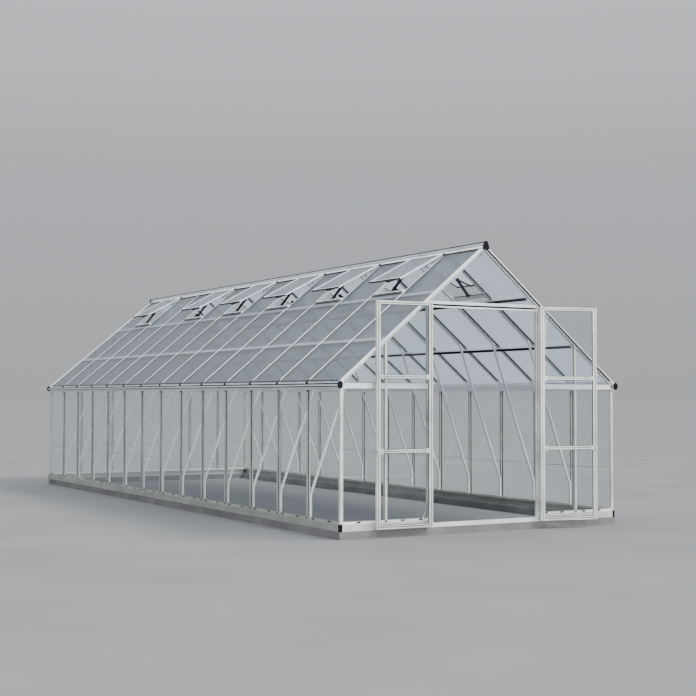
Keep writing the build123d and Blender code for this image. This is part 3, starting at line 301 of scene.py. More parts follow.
def spacer_stops():
    """Ramp stops over the house's height: white where a spacer backs the roof sheets, black elsewhere,
    marking a band of painted light.
    """
    stops = []
    for down in (LOWER_PURLIN, UPPER_PURLIN):
        middle = RIDGE_HEIGHT - down * SLOPE_SIN - (BAR_WALL + ROOF_SHEET / 2) * SLOPE_COS
        half, fade = SPACER_WIDTH / 2 * SLOPE_SIN, 2 * MM
        for z, colour in ((middle - half - fade, "#000000"), (middle - half, "#ffffff"),
                          (middle + half, "#ffffff"), (middle + half + fade, "#000000")):
            stops.append((z / RIDGE_HEIGHT, colour))
    return stops


def milky_twin_wall(name, shaded, lit, through_colour, clear_share):
    """Milky twin-wall polycarbonate: glows with light from behind, shows bars behind it faintly, fluted, and
    lightened as painted light where a spacer backs it.
    """
    sheet, where = new_material(name)
    clouds = add_node(sheet, "ShaderNodeTexNoise", {"Scale": 1 / (900 * MM), "Detail": 4.0},
                      {"Vector": where})
    cloudy = add_node(sheet, "ShaderNodeValToRGB", {"stops": [(0.3, shaded), (0.7, lit)]},
                      {"Fac": clouds.outputs["Fac"]})
    place = add_node(sheet, "ShaderNodeSeparateXYZ", {}, {0: where})
    height = add_node(sheet, "ShaderNodeMath", {"operation": "DIVIDE", 1: RIDGE_HEIGHT},
                      {0: place.outputs["Z"]})
    painted_light_band = add_node(sheet, "ShaderNodeValToRGB", {"stops": spacer_stops()}, {"Fac": height.outputs[0]})
    # Where a spacer backs the sheet the colour turns near white: painted light for what the foam sends back
    # through the sheet. The sheet is also less clear there
    colour = add_node(sheet, "ShaderNodeMix", {"data_type": "RGBA", 7: linear("#d9dadb")},
                      {0: painted_light_band.outputs["Color"], 6: cloudy.outputs["Color"]})
    flute_spacing = 10 * MM
    # At scale 1 the wave makes a band every pi / 10 metres
    flutes = add_node(sheet, "ShaderNodeTexWave",
                      {"bands_direction": "Y", "Scale": math.pi / 10 / flute_spacing}, {"Vector": where})
    relief = add_node(sheet, "ShaderNodeBump", {"Strength": 0.25, "Distance": 0.3 * MM},
                      {"Height": flutes.outputs["Fac"]})
    skin = add_node(sheet, "ShaderNodeBsdfDiffuse", {},
                    {"Color": colour.outputs[2], "Normal": relief.outputs["Normal"]})
    glow = add_node(sheet, "ShaderNodeBsdfTranslucent", {"Color": linear(through_colour)})
    body = add_node(sheet, "ShaderNodeMixShader", {0: 0.7},
                    {1: skin.outputs["BSDF"], 2: glow.outputs["BSDF"]})
    through = add_node(sheet, "ShaderNodeBsdfTransparent", {"Color": linear("#eef2f6")})
    clearness = add_node(sheet, "ShaderNodeMapRange", {"To Min": clear_share, "To Max": clear_share / 2},
                         {"Value": painted_light_band.outputs["Color"]})
    milky = add_node(sheet, "ShaderNodeMixShader", {},
                     {0: clearness.outputs["Result"], 1: body.outputs["Shader"], 2: through.outputs["BSDF"]})
    gloss = add_node(sheet, "ShaderNodeBsdfGlossy", {"Color": linear("#eef1f4"), "Roughness": 0.35},
                     {"Normal": relief.outputs["Normal"]})
    facing = add_node(sheet, "ShaderNodeLayerWeight", {"Blend": 0.5})
    slant = add_node(sheet, "ShaderNodeMath", {"operation": "POWER", 1: 5.0}, {0: facing.outputs["Facing"]})
    share = add_node(sheet, "ShaderNodeMapRange", {"To Min": 0.04, "To Max": 0.3},
                     {"Value": slant.outputs[0]})
    finished = add_node(sheet, "ShaderNodeMixShader", {},
                        {0: share.outputs["Result"], 1: milky.outputs["Shader"], 2: gloss.outputs["BSDF"]})
    add_node(sheet, "ShaderNodeOutputMaterial", {}, {"Surface": finished.outputs["Shader"]})
    return sheet


def closed_cell_foam():
    """White closed-cell foam: matt, its pores drawn at 2 mm, coarser than they are, so that they show."""
    foam, where = new_material("closed_cell_foam")
    pores = add_node(foam, "ShaderNodeTexVoronoi", {"Scale": 1 / (2 * MM)}, {"Vector": where})
    colour = add_node(foam, "ShaderNodeValToRGB", {"stops": [(0.05, "#e6e7e8"), (0.3, "#fafafa")]},
                      {"Fac": pores.outputs["Distance"]})
    relief = add_node(foam, "ShaderNodeBump", {"Strength": 0.4, "Distance": 0.3 * MM},
                      {"Height": pores.outputs["Distance"]})
    shader = add_node(foam, "ShaderNodeBsdfPrincipled", {"Roughness": 0.95, "Specular IOR Level": 0.2},
                      {"Base Color": colour.outputs["Color"], "Normal": relief.outputs["Normal"]})
    add_node(foam, "ShaderNodeOutputMaterial", {}, {"Surface": shader.outputs["BSDF"]})
    return foam


# Die lines, finer on the real bars, are drawn 2.5 mm apart so that they show, and run on for 400 mm.
# Rafters lie aslant, so across the house and up it their lines are 40 mm long
ACROSS = 1 / (2.5 * MM)
ALONG = 1 / (400 * MM)
ASLANT = 1 / (40 * MM)
# Tones of the aluminium: the bright set, and two darker copies of it (shaded and darkest) that paint shade
# into the colour of the bars they are given to
SHADE_PAINTED_TONES = ("#a3a5a1", "#b5b7b2", "#c5c6c1")
SHADED = ("#bfc1be", "#d3d5d1", "#e4e5e1")
BRIGHT_TONES = ("#dcdfe0", "#eaeced", "#f4f5f6")
# The wall studs take the darkest tones and the uprights the middle ones: painted shade
stud_bar = mill_aluminium("aluminium_stud", (ACROSS, ACROSS, ALONG), SHADE_PAINTED_TONES)
brace_bar = mill_aluminium("aluminium_brace", (ACROSS, ACROSS, ALONG), BRIGHT_TONES)
upright_bar = mill_aluminium("aluminium_upright", (ACROSS, ACROSS, ALONG), SHADED)
cross_bar = mill_aluminium("aluminium_cross", (ALONG, ACROSS, ACROSS), BRIGHT_TONES)
# The sills also take the darkest tones: painted shade
sill_bar = mill_aluminium("aluminium_sill", (ACROSS, ALONG, ACROSS), SHADE_PAINTED_TONES)
long_bar = mill_aluminium("aluminium_long", (ACROSS, ALONG, ACROSS), BRIGHT_TONES)
slope_bar = mill_aluminium("aluminium_rafter", (ASLANT, ACROSS, ASLANT), BRIGHT_TONES)
# The side base rails take darker tones than the gable rails: the same zinc with shade painted into its colour
side_steel_painted_shade = galvanised_steel("galvanised_steel_side_painted_shade", "#9da099", "#b0b2ac")
end_steel = galvanised_steel("galvanised_steel_end", "#c3c5be", "#d6d7d1")
concrete = cast_concrete()
nylon = black_moulding("moulded_nylon", "#0e0f10", "#16171a", 0.6, 0.09, 1.2 * MM)
rubber = black_moulding("extruded_rubber", "#0a0a0a", "#111111", 0.85, 0.05, 0.8 * MM)
bolt_steel = zinc_plated_steel()
foam = closed_cell_foam()
clear = clear_polycarbonate("clear_polycarbonate", "#fdfefe", 0.004)
clear_joint = clear_polycarbonate("clear_joint_strip", "#e9f0ee", 0.2)
roof_sheet = milky_twin_wall("milky_twin_wall", "#4b4e51", "#5d6063", "#b9bfc7", 0.42)
vent_sheet = milky_twin_wall("milky_vent_sheet", "#5a6068", "#6a7079", "#c3c8d4", 0.5)

FINISHES = {
    concrete: ("plinth_sides", "plinth_ends"),
    side_steel_painted_shade: ("side_base_rails",),
    end_steel: ("gable_base_rails",),
    # The ridge trim is black nylon, which also stands in for the shade along the ridge crest
    nylon: ("base_corner_connectors", "gutter_end_caps", "rafter_foot_clips", "ridge_end_caps", "ridge_trim",
            "vent_openers"),
    cross_bar: ("door_threshold", "gable_sills", "gable_beams", "gable_headers"),
    sill_bar: ("side_wall_sills",),
    long_bar: ("eave_gutters", "ridge_beam", "upper_purlins", "lower_purlins", "vent_sills"),
    stud_bar: ("left_wall_studs", "right_wall_studs"),
    brace_bar: ("left_braces", "right_braces"),
    upright_bar: ("corner_posts", "gable_studs", "door_posts", "left_door_frame", "right_door_frame",
                  "post_hinges", "left_door_hinges", "right_door_hinges", "left_door_latch",
                  "right_door_latch", "door_post_brackets"),
    slope_bar: ("left_rafters", "right_rafters", "gable_rafters", "left_vent_sashes", "right_vent_sashes"),
    clear: ("left_wall_sheets", "right_wall_sheets", "front_gable_sheets", "back_gable_sheets",
            "left_door_sheets", "right_door_sheets"),
    clear_joint: ("wall_joint_strips", "gable_joint_strips"),
    roof_sheet: ("left_roof_sheets", "right_roof_sheets"),
    vent_sheet: ("left_vent_sheets", "right_vent_sheets"),
}
for finish, node_names in FINISHES.items():
    for node_name in node_names:
        mesh = frame["nodes"][node_name].data
        mesh.materials.clear()
        mesh.materials.append(finish)


# Shapes that the added pieces are made of
def add_piece(name, shape, material, body="greenhouse"):
    """Turns a bmesh into a piece with its finish that rides on a body."""
    bmesh.ops.recalc_face_normals(shape, faces=shape.faces)
    mesh = bpy.data.meshes.new(name)
    shape.to_mesh(mesh)
    shape.free()
    mesh.materials.append(material)
    piece = bpy.data.objects.new(name, mesh)
    bpy.context.scene.collection.objects.link(piece)
    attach(piece, body)


def run_outline(shape, outline, start, end, up):
    """Runs an outline of (across, out) points in millimetres from start to end, its out side towards up."""
    along = (end - start).normalized()
    across = along.cross(up).normalized()
    out = across.cross(along)
    rings = []
    for place in (start, end):
        rings.append([shape.verts.new(place + (across * a + out * b) * MM) for a, b in outline])
    for i in range(len(outline)):
        shape.faces.new((rings[0][i - 1], rings[0][i], rings[1][i], rings[1][i - 1]))
    for ring in rings:
        shape.faces.new(ring)


def turn_profile(shape, profile, centre, axis, sides):
    """Turns a profile of (radius, height) points in millimetres about an axis, closed at both ends."""
    turn = axis.to_track_quat("Z", "Y")
    rings = []
    for radius, height in profile:
        angles = [2 * math.pi * k / sides for k in range(sides)]
        points = [Vector((radius * math.cos(a), radius * math.sin(a), height)) * MM for a in angles]
        rings.append([shape.verts.new(centre + turn @ point) for point in points])
    for low, high in zip(rings, rings[1:]):
        for k in range(sides):
            shape.faces.new((low[k - 1], low[k], high[k], high[k - 1]))
    shape.faces.new(rings[0])
    shape.faces.new(rings[-1])


def strip(wide, high, edge=0.8):
    """Outline of a flat strip with broken edges, in millimetres, its foot on the line it runs along."""
    half = wide / 2
    return ((-half, 0), (half, 0), (half, high - edge), (half - edge, high), (edge - half, high),
            (-half, high - edge))


# Heads of the fixings, as (radius, height) profiles in millimetres
WASHER = ((7.5, 0), (7.5, 1.0), (7.0, 1.4))
HEX_HEAD = ((5.2, 1.4), (5.2, 4.6), (4.5, 5.4))
PAN_HEAD = ((4.6, 0), (4.6, 1.0), (3.9, 2.0), (2.2, 2.6))


def hex_bolt(shape, centre, axis):
    """Hexagon bolt head on its washer."""
    turn_profile(shape, WASHER, centre, axis, sides=16)
    turn_profile(shape, HEX_HEAD, centre, axis, sides=6)


def pan_screw(shape, centre, axis):
    """Pan-head screw."""
    turn_profile(shape, PAN_HEAD, centre, axis, sides=10)


# Places on the house. A side is -1 left or 1 right, and a way is -1 or 1 along the house or across a bar
SIDES = (-1, 1)
WAYS = (-1, 1)
GABLES = ((FRONT_Y, -1), (BACK_Y, 1))
UP = Vector((0, 0, 1))
OUT_X = Vector((1, 0, 0))
OUT_Y = Vector((0, 1, 0))
VENT_LINES = [(BAR_LINES[i] + BAR_LINES[i + 1]) / 2 for i in VENT_BAYS]
POST_OUTER_X = DOOR_HALF_WIDTH + POST_WIDTH
SEAL_END = 1 * MM


def slope_point(side, down, out, y):
    """Point on a roof slope, down from the ridge line and out from the roof line."""
    x = down * SLOPE_COS + out * SLOPE_SIN
    return Vector((side * x, y, RIDGE_HEIGHT - down * SLOPE_SIN + out * SLOPE_COS))


def slope_out(side):
    """Direction out of a roof slope."""
    return Vector((side * SLOPE_SIN, 0, SLOPE_COS))


def roof_height(x, out=0.0):
    """Height of the roof line over a place x, or of a line parallel to it."""
    return RIDGE_HEIGHT - abs(x) * math.tan(PITCH) + out / SLOPE_COS


def bay_ends(i, inset):
    """Both ends of bay i along the house, each held back from its bar's middle."""
    return BAR_LINES[i] + inset, BAR_LINES[i + 1] - inset


def run_down(shape, outline, side, downs, out, y, facing=1):
    """Runs an outline down a roof slope; facing is 1 out of the house and -1 into it."""
    start, end = (slope_point(side, down, out, y) for down in downs)
    run_outline(shape, outline, start, end, slope_out(side) * facing)


def run_level(shape, outline, side, down, out, ends, facing=1):
    """Runs an outline level along a roof slope between two places along the house."""
    start, end = (slope_point(side, down, out, y) for y in ends)
    run_outline(shape, outline, start, end, slope_out(side) * facing)


def run_upright(shape, outline, x, y, heights, out):
    """Runs an outline up between two heights."""
    start, end = (Vector((x, y, z)) for z in heights)
    run_outline(shape, outline, start, end, out)


def sash_point(side, down, out, y):
    """Point of a propped sash, down from its hinge bead and out from its middle plane."""
    down, out = (down * math.cos(VENT_ANGLE) - out * math.sin(VENT_ANGLE),
                 down * math.sin(VENT_ANGLE) + out * math.cos(VENT_ANGLE))
    return slope_point(side, RIDGE_LEG + down, VENT_BEAD + out, y)


def sash_out(side):
    """Direction out of a propped sash."""
    return sash_point(side, 0, 1, 0) - sash_point(side, 0, 0, 0)


def sash_down(side):
    """Direction down a propped sash."""
    return sash_point(side, 1, 0, 0) - sash_point(side, 0, 0, 0)


# Rafter seals: a lip on the sheets beside the cap, and a strip beside the body under the sheets
CAP_LIP = ((0, 0), (3.6, 0), (3.3, 1.0), (2.2, 1.9), (0, 2.2))
SIDE_SEAL_WIDTH = 2.8
SIDE_SEAL_HEIGHT = 13
SIDE_SEAL = strip(SIDE_SEAL_WIDTH, SIDE_SEAL_HEIGHT)
SEAL_START_AT_RIDGE = RIDGE_LEG + 8 * MM
SEAL_START_AT_VENT = SILL_DOWN + 2 * MM
CAP_LIP_END = EAVE_DOWN - 30 * MM
SIDE_SEAL_END = EAVE_DOWN - 75 * MM


def rafter_seals():
    """Black seals along both sides of the rafters."""
    lips, strips = bmesh.new(), bmesh.new()
    for side in SIDES:
        for i in range(1, BAYS):
            for way, bay in ((-1, i - 1), (1, i)):
                start = SEAL_START_AT_VENT if bay in VENT_BAYS else SEAL_START_AT_RIDGE
                lip = [(across * way * -side, out) for across, out in CAP_LIP]
                cap_edge = BAR_LINES[i] + way * BAR_CAP / 2
                run_down(lips, lip, side, (start, CAP_LIP_END), SHEET_FACE, cap_edge)
                body_side = BAR_LINES[i] + way * (BAR_BODY + SIDE_SEAL_WIDTH * MM) / 2
                run_down(strips, SIDE_SEAL, side, (start, SIDE_SEAL_END), SHEET_BACK - SIDE_SEAL_HEIGHT * MM,
                         body_side)
    add_piece("rafter_lip_seals", lips, rubber)
    add_piece("rafter_side_seals", strips, rubber)


rafter_seals()

# Slot inserts, black so that they also stand in for the shade on the bars' undersides and edges
SLOT_INSERT = strip(wide=14, high=1.5, edge=0.5)
BRACE_INSERT = strip(wide=8, high=1.2, edge=0.4)
PURLIN_INSERT = strip(wide=34, high=1.5, edge=0.5)
PURLIN_GAP = PURLIN_WIDTH / 2 + 5 * MM
RAFTER_SPANS = ((RIDGE_LEG + 20 * MM, UPPER_PURLIN - PURLIN_GAP),
                (BRACE_KNEE + 25 * MM, LOWER_PURLIN - PURLIN_GAP),
                (LOWER_PURLIN + PURLIN_GAP, EAVE_DOWN - 90 * MM))
BRACE_SPAN = (BRACE_TOP + 13 * MM, BRACE_KNEE - 12 * MM)
BRACE_SLOT = RAFTER_BACK - 5 * MM
PURLIN_ENDS = (FRONT_Y + POST + 5 * MM, BACK_Y - POST - 5 * MM)


def slot_inserts():
    """Black inserts under the rafters, on both sides of the braces and along the purlins' inner faces, which
    also stand in for the shade on the bars' undersides and edges.
    """
    shape = bmesh.new()
    for side in SIDES:
        for y in BAR_LINES[1:-1]:
            for span in RAFTER_SPANS:
                run_down(shape, SLOT_INSERT, side, span, RAFTER_BACK, y, facing=-1)
            for way in WAYS:
                brace_side = y + way * BRACE_WIDTH / 2
                start, end = (slope_point(side, down, BRACE_SLOT, brace_side) for down in BRACE_SPAN)
                run_outline(shape, BRACE_INSERT, start, end, OUT_Y * way)
        for down in PURLINS:
            run_level(shape, PURLIN_INSERT, side, down, RAFTER_BACK - PURLIN_DEPTH, PURLIN_ENDS, facing=-1)
    add_piece("slot_inserts", shape, rubber)


slot_inserts()

# Sheet spacers, with a black strip below each that stands in for the shade under it
SPACER_HEIGHT = (SHEET_BACK - RAFTER_BACK) / MM
SPACER = strip(SPACER_WIDTH / MM, SPACER_HEIGHT)
SPACER_EDGE = strip(5, SPACER_HEIGHT)
SPACER_EDGE_DOWN = PURLIN_WIDTH / 2 - 1 * MM
SPACER_INSET = BAR_BODY / 2 + 6 * MM


def sheet_spacers():
    """White foam spacers between the roof sheets and the purlins, each with a black strip below that stands
    in for the shade under it.
    """
    spacers, edges = bmesh.new(), bmesh.new()
    for side in SIDES:
        for i in range(BAYS):
            ends = bay_ends(i, SPACER_INSET)
            for down in PURLINS:
                run_level(spacers, SPACER, side, down, RAFTER_BACK, ends)
                run_level(edges, SPACER_EDGE, side, down + SPACER_EDGE_DOWN, RAFTER_BACK, ends)
    add_piece("sheet_spacers", spacers, foam)
    add_piece("sheet_spacer_shade_strips", edges, rubber)


sheet_spacers()

# Eave strips: black at the foot of the lip and in the groove under the gutter's rim, standing in for the
# shade there. Clips over the studs' heads
LIP_FOOT_SHADE_STRIP = strip(wide=11, high=1.5, edge=0.5)
RIM_GROOVE_SHADE_STRIP = strip(wide=8, high=1.5, edge=0.5)
EAVE_LINES = ((LIP_FOOT_SHADE_STRIP, HALF_WIDTH + LIP_WALL, GUTTER_RIM + 6 * MM),
              (RIM_GROOVE_SHADE_STRIP, HALF_WIDTH + GUTTER_REACH, GUTTER_FLOOR + 6 * MM))
EAVE_OVERRUN = 15 * MM
STUD_CLIP = strip(wide=9, high=4, edge=1.2)
STUD_CLIP_REACH = 11 * MM
STUD_CLIP_HEIGHT = STUD_TOP - 9 * MM


def gutter_lines():
    """Black strips along the eaves that stand in for the shade in the gutter, and a black clip over each
    stud's head.
    """
    lines, clips = bmesh.new(), bmesh.new()
    for side in SIDES:
        for outline, x, z in EAVE_LINES:
            start, end = (Vector((side * x, y, z)) for y in (FRONT_Y - EAVE_OVERRUN, BACK_Y + EAVE_OVERRUN))
            run_outline(lines, outline, start, end, OUT_X * side)
        for y in BAR_LINES[1:-1]:
            clip = Vector((side * HALF_WIDTH, y, STUD_CLIP_HEIGHT))
            along = OUT_Y * STUD_CLIP_REACH
            run_outline(clips, STUD_CLIP, clip - along, clip + along, OUT_X * side)
    add_piece("gutter_lines", lines, rubber)
    add_piece("stud_top_clips", clips, nylon)


gutter_lines()

# Seals across the roof sheets' ends, black so that they also stand in for the shade under the ridge cap's
# edge and above the gutters
SHEET_END_SEAL = strip(wide=8, high=3)
SHEET_END_INSET = BAR_CAP / 2 + 4 * MM
RIDGE_SEAL_DOWN = RIDGE_LEG + 9 * MM
EAVE_SEAL_DOWN = EAVE_DOWN - 16 * MM


def ridge_and_eave_seals():
    """Black seals on the roof sheets along the ridge cap's legs and above the gutters' lips, which also stand
    in for the shade there.
    """
    shape = bmesh.new()
    for side in SIDES:
        for i in range(BAYS):
            ends = bay_ends(i, SHEET_END_INSET)
            if i not in VENT_BAYS:
                run_level(shape, SHEET_END_SEAL, side, RIDGE_SEAL_DOWN, SHEET_FACE, ends)
            run_level(shape, SHEET_END_SEAL, side, EAVE_SEAL_DOWN, SHEET_FACE, ends)
    add_piece("ridge_and_eave_seals", shape, rubber)


ridge_and_eave_seals()

# Gable rafter seals, black so that they also stand in for the shade under the overhang
OVERHANG_SEAL_HEIGHT = 3
OVERHANG_SEAL = strip(20, OVERHANG_SEAL_HEIGHT)
OVERHANG_SPAN = (30 * MM, EAVE_DOWN - 45 * MM)


def gable_rafter_seals():
    """Black strip under the overhang of each gable rafter: a seal, and also the shade under the overhang
    painted in black.
    """
    shape = bmesh.new()
    out = -RAFTER_LIP - OVERHANG_SEAL_HEIGHT * MM
    for side in SIDES:
        for face, away in GABLES:
            run_down(shape, OVERHANG_SEAL, side, OVERHANG_SPAN, out, face + away * OVERHANG / 2)
    add_piece("gable_rafter_seals", shape, rubber)


gable_rafter_seals()

# Stud seals
STUD_SEAL_WIDTH = 3.2
STUD_SEAL = strip(STUD_SEAL_WIDTH, high=7)
STUD_SEAL_HEIGHTS = (SILL_TOP + SEAL_END, STUD_TOP - SEAL_END)
WALL_SHEET_BACK = BAR_WALL + CLEAR_SHEET + 3 * FIT


def stud_seals():
    """Black seals beside the studs' bodies, on the inside of the wall sheets."""
    shape = bmesh.new()
    for side in SIDES:
        x = side * (HALF_WIDTH - WALL_SHEET_BACK)
        for y in BAR_LINES[1:-1]:
            for way in WAYS:
                body_side = y + way * (BAR_BODY + STUD_SEAL_WIDTH * MM) / 2
                run_upright(shape, STUD_SEAL, x, body_side, STUD_SEAL_HEIGHTS, OUT_X * -side)
    add_piece("wall_stud_seals", shape, rubber)


stud_seals()

# Vent seals: under the sash's sides, round its bottom rail, and on and beside its sill; black so that they
# also stand in for the shade on the bottom rail and along the sill
SASH_SIDE_SEAL_HEIGHT = 4
SASH_SIDE_SEAL = strip(9, SASH_SIDE_SEAL_HEIGHT)
SASH_SIDE_SPAN = (40 * MM, VENT_LENGTH - 2 * MM)
SASH_SIDE_INSET = 6 * MM
RAIL_UNDER_SEAL_HEIGHT = 3
RAIL_UNDER_SEAL = strip(18, RAIL_UNDER_SEAL_HEIGHT)
RAIL_UNDER_INSET = 14 * MM
OPENER_GAP = OPENER_WIDTH / 2 + 5 * MM
RAIL_TOP_SEAL = strip(wide=6, high=2)
RAIL_TOP_SEAL_DOWN = VENT_LENGTH - 4 * MM
RAIL_END_SEAL = strip(wide=10, high=3, edge=1)
VENT_SILL_SEAL = strip(wide=13, high=1.5)
VENT_SILL_SEAL_DOWN = SILL_DOWN - 8 * MM
VENT_SILL_SEAL_INSET = 22 * MM
VENT_SILL_EDGE_SEAL = strip(wide=8, high=3)
VENT_SILL_EDGE_DOWNS = (SILL_UP - 4 * MM, SILL_DOWN + 4 * MM)
VENT_SILL_EDGE_OUT = -2 * MM
VENT_SILL_EDGE_INSET = 18 * MM


def sash_seals():
    """Black seals of each sash and of its sill, which also stand in for the shade on the sash's bottom rail
    and along the sill.
    """
    shape = bmesh.new()
    side_out = -VENT_UNDERSIDE - SASH_SIDE_SEAL_HEIGHT * MM
    rail_down, rail_out = VENT_LENGTH - VENT_BAR / 2, -VENT_UNDERSIDE - RAIL_UNDER_SEAL_HEIGHT * MM
    rail_top, rail_middle = VENT_THICKNESS - VENT_UNDERSIDE, VENT_THICKNESS / 2 - VENT_UNDERSIDE
    for side in SIDES:
        out = sash_out(side)
        for middle in VENT_LINES:
            near, far = middle - VENT_WIDTH / 2, middle + VENT_WIDTH / 2
            for y in (near + SASH_SIDE_INSET, far - SASH_SIDE_INSET):
                start, end = (sash_point(side, down, side_out, y) for down in SASH_SIDE_SPAN)
                run_outline(shape, SASH_SIDE_SEAL, start, end, out)
            for ends in ((near + RAIL_UNDER_INSET, middle - OPENER_GAP),
                         (middle + OPENER_GAP, far - RAIL_UNDER_INSET)):
                start, end = (sash_point(side, rail_down, rail_out, y) for y in ends)
                run_outline(shape, RAIL_UNDER_SEAL, start, end, out)
            start, end = (sash_point(side, RAIL_TOP_SEAL_DOWN, rail_top, y) for y in (near, far))
            run_outline(shape, RAIL_TOP_SEAL, start, end, out)
            start, end = (sash_point(side, VENT_LENGTH, rail_middle, y) for y in (near, far))
            run_outline(shape, RAIL_END_SEAL, start, end, sash_down(side))
            run_level(shape, VENT_SILL_SEAL, side, VENT_SILL_SEAL_DOWN, SILL_RISE,
                      (near + VENT_SILL_SEAL_INSET, far - VENT_SILL_SEAL_INSET))
            for down in VENT_SILL_EDGE_DOWNS:
                run_level(shape, VENT_SILL_EDGE_SEAL, side, down, VENT_SILL_EDGE_OUT,
                          (near + VENT_SILL_EDGE_INSET, far - VENT_SILL_EDGE_INSET))
    add_piece("vent_sash_seals", shape, rubber)


sash_seals()

# Sash stops
SASH_STOP = ((-15, 0), (15, 0), (15, 9), (9, 15), (-9, 15), (-15, 9))
SASH_STOP_DOWN = RIDGE_LEG + 4 * MM
SASH_STOP_START = VENT_WIDTH / 2 + 1 * MM
SASH_STOP_END = SASH_STOP_START + 10 * MM


def sash_stops():
    """Black stops at both ends of each sash's hinge bead."""
    shape = bmesh.new()
    for side in SIDES:
        for middle in VENT_LINES:
            for way in WAYS:
                ends = (middle + way * SASH_STOP_START, middle + way * SASH_STOP_END)
                run_level(shape, SASH_STOP, side, SASH_STOP_DOWN, 0, ends)
    add_piece("sash_stops", shape, nylon)


sash_stops()

# Clips that hold the sheets down in the sills. Shares are parts of the way from one bar to the next
SIDE_CLIP_SHARES = (0.3, 0.8)
GABLE_CLIP_SHARES = (0.38, 0.8)
CLIP_HEIGHT = BASE_TOP + 8 * MM
SHEET_CLIP_WIDTH = 36 * MM
BAR_CLIP_WIDTH = 22 * MM
CLIP_BODY = ((0, 0), (9, 0), (10, 1.5), (10, 5), (7, 7), (0, 7))
CLIP_TONGUE = ((-4, 0), (0, 0), (0, 3), (-3, 3))


def sill_clip(shape, place, wide, out):
    """A moulded clip on the sill's outer face: a thick body, and under it a thinner tongue half as wide."""
    half = out.cross(UP) * wide / 2
    run_outline(shape, CLIP_BODY, place - half, place + half, out)
    run_outline(shape, CLIP_TONGUE, place - half / 2, place + half / 2, out)


def sill_clips():
    """Two clips under each sheet and one at each bar's foot, along both sides and both gables."""
    shape = bmesh.new()
    corner, post = HALF_WIDTH - POST / 2, DOOR_HALF_WIDTH + POST_WIDTH / 2
    for side in SIDES:
        out = OUT_X * side
        for i in range(BAYS):
            for share in SIDE_CLIP_SHARES:
                y = BAR_LINES[i] + share * BAY
                sill_clip(shape, Vector((side * HALF_WIDTH, y, CLIP_HEIGHT)), SHEET_CLIP_WIDTH, out)
        for y in BAR_LINES[1:-1]:
            sill_clip(shape, Vector((side * HALF_WIDTH, y, CLIP_HEIGHT)), BAR_CLIP_WIDTH, out)
        for face, away in GABLES:
            out = OUT_Y * away
            for start, end in ((corner, GABLE_STUD_X), (GABLE_STUD_X, post)):
                for share in GABLE_CLIP_SHARES:
                    x = start + share * (end - start)
                    sill_clip(shape, Vector((side * x, face, CLIP_HEIGHT)), SHEET_CLIP_WIDTH, out)
            sill_clip(shape, Vector((side * GABLE_STUD_X, face, CLIP_HEIGHT)), BAR_CLIP_WIDTH, out)
    add_piece("sill_clips", shape, nylon)


sill_clips()

# Seals of the gables, laid on the outer face of the sheets
GABLE_SHEET_FACE = BAR_WALL + FIT
GABLE_SEAL = strip(wide=3, high=2.6)
STUD_SEAL_REACH = BAR_CAP / 2 + 1.5 * MM
STUD_ROOF_GAP = 34 * MM
POST_SEAL_X = POST_OUTER_X + 1.6 * MM
POST_ROOF_GAP = 36 * MM
BEAM_SEAL = strip(wide=4, high=2.6)
BEAM_SEAL_START = POST_OUTER_X + SEAL_END
BEAM_SEAL_GAP = BAR_CAP / 2 + 3 * MM
BEAM_SEALS = ((BEAM_BOTTOM - 2 * MM, HALF_WIDTH - POST - SEAL_END), (BEAM_TOP + 2 * MM, HALF_WIDTH - 75 * MM))
POST_LINE = strip(wide=3, high=0.6, edge=0.2)
POST_LINE_X = DOOR_HALF_WIDTH + 16.5 * MM
HEADER_INSERT = strip(wide=16, high=9, edge=2)
HEADER_GROOVE_MIDDLE = HEADER_BOTTOM + 22 * MM
HEADER_GROOVE_DEPTH = 18 * MM
HEADER_INSERT_REACH = DOOR_HALF_WIDTH - 7 * MM


def gable_panes(x, roof_gap):
    """Heights of the sheets' free edges at a place x across a gable: sill to beam, and beam to roof."""
    return (SILL_TOP, BEAM_BOTTOM - SEAL_END), (BEAM_TOP + SEAL_END, roof_height(x, -roof_gap))


def gable_seals():
    """Black seals beside the studs and door posts, along the level beams and in the header's groove."""
    shape = bmesh.new()
    for face, away in GABLES:
        out = OUT_Y * away
        sheet_y = face - away * GABLE_SHEET_FACE
        for side in SIDES:
            for way in WAYS:
                x = side * GABLE_STUD_X + way * STUD_SEAL_REACH
                for heights in gable_panes(x, STUD_ROOF_GAP):
                    run_upright(shape, GABLE_SEAL, x, sheet_y, heights, out)
        for side in SIDES:
            for z, outer in BEAM_SEALS:
                for ends in ((BEAM_SEAL_START, GABLE_STUD_X - BEAM_SEAL_GAP),
                             (GABLE_STUD_X + BEAM_SEAL_GAP, outer)):
                    start, end = (Vector((side * x, sheet_y, z)) for x in ends)
                    run_outline(shape, BEAM_SEAL, start, end, out)
            for heights in gable_panes(POST_SEAL_X, POST_ROOF_GAP):
                run_upright(shape, GABLE_SEAL, side * POST_SEAL_X, sheet_y, heights, out)
            run_upright(shape, POST_LINE, side * POST_LINE_X, face, (BASE_TOP, HEADER_BOTTOM), out)
        groove_y = face - away * HEADER_GROOVE_DEPTH
        start, end = (Vector((side * HEADER_INSERT_REACH, groove_y, HEADER_GROOVE_MIDDLE)) for side in SIDES)
        run_outline(shape, HEADER_INSERT, start, end, out)
    add_piece("gable_seals", shape, rubber)


gable_seals()

# Apex seams
APEX_SEAM = strip(wide=4, high=1.2, edge=0.4)
APEX_SEAM_HEIGHTS = (HEADER_TOP + SEAL_END, roof_height(0, -48 * MM))


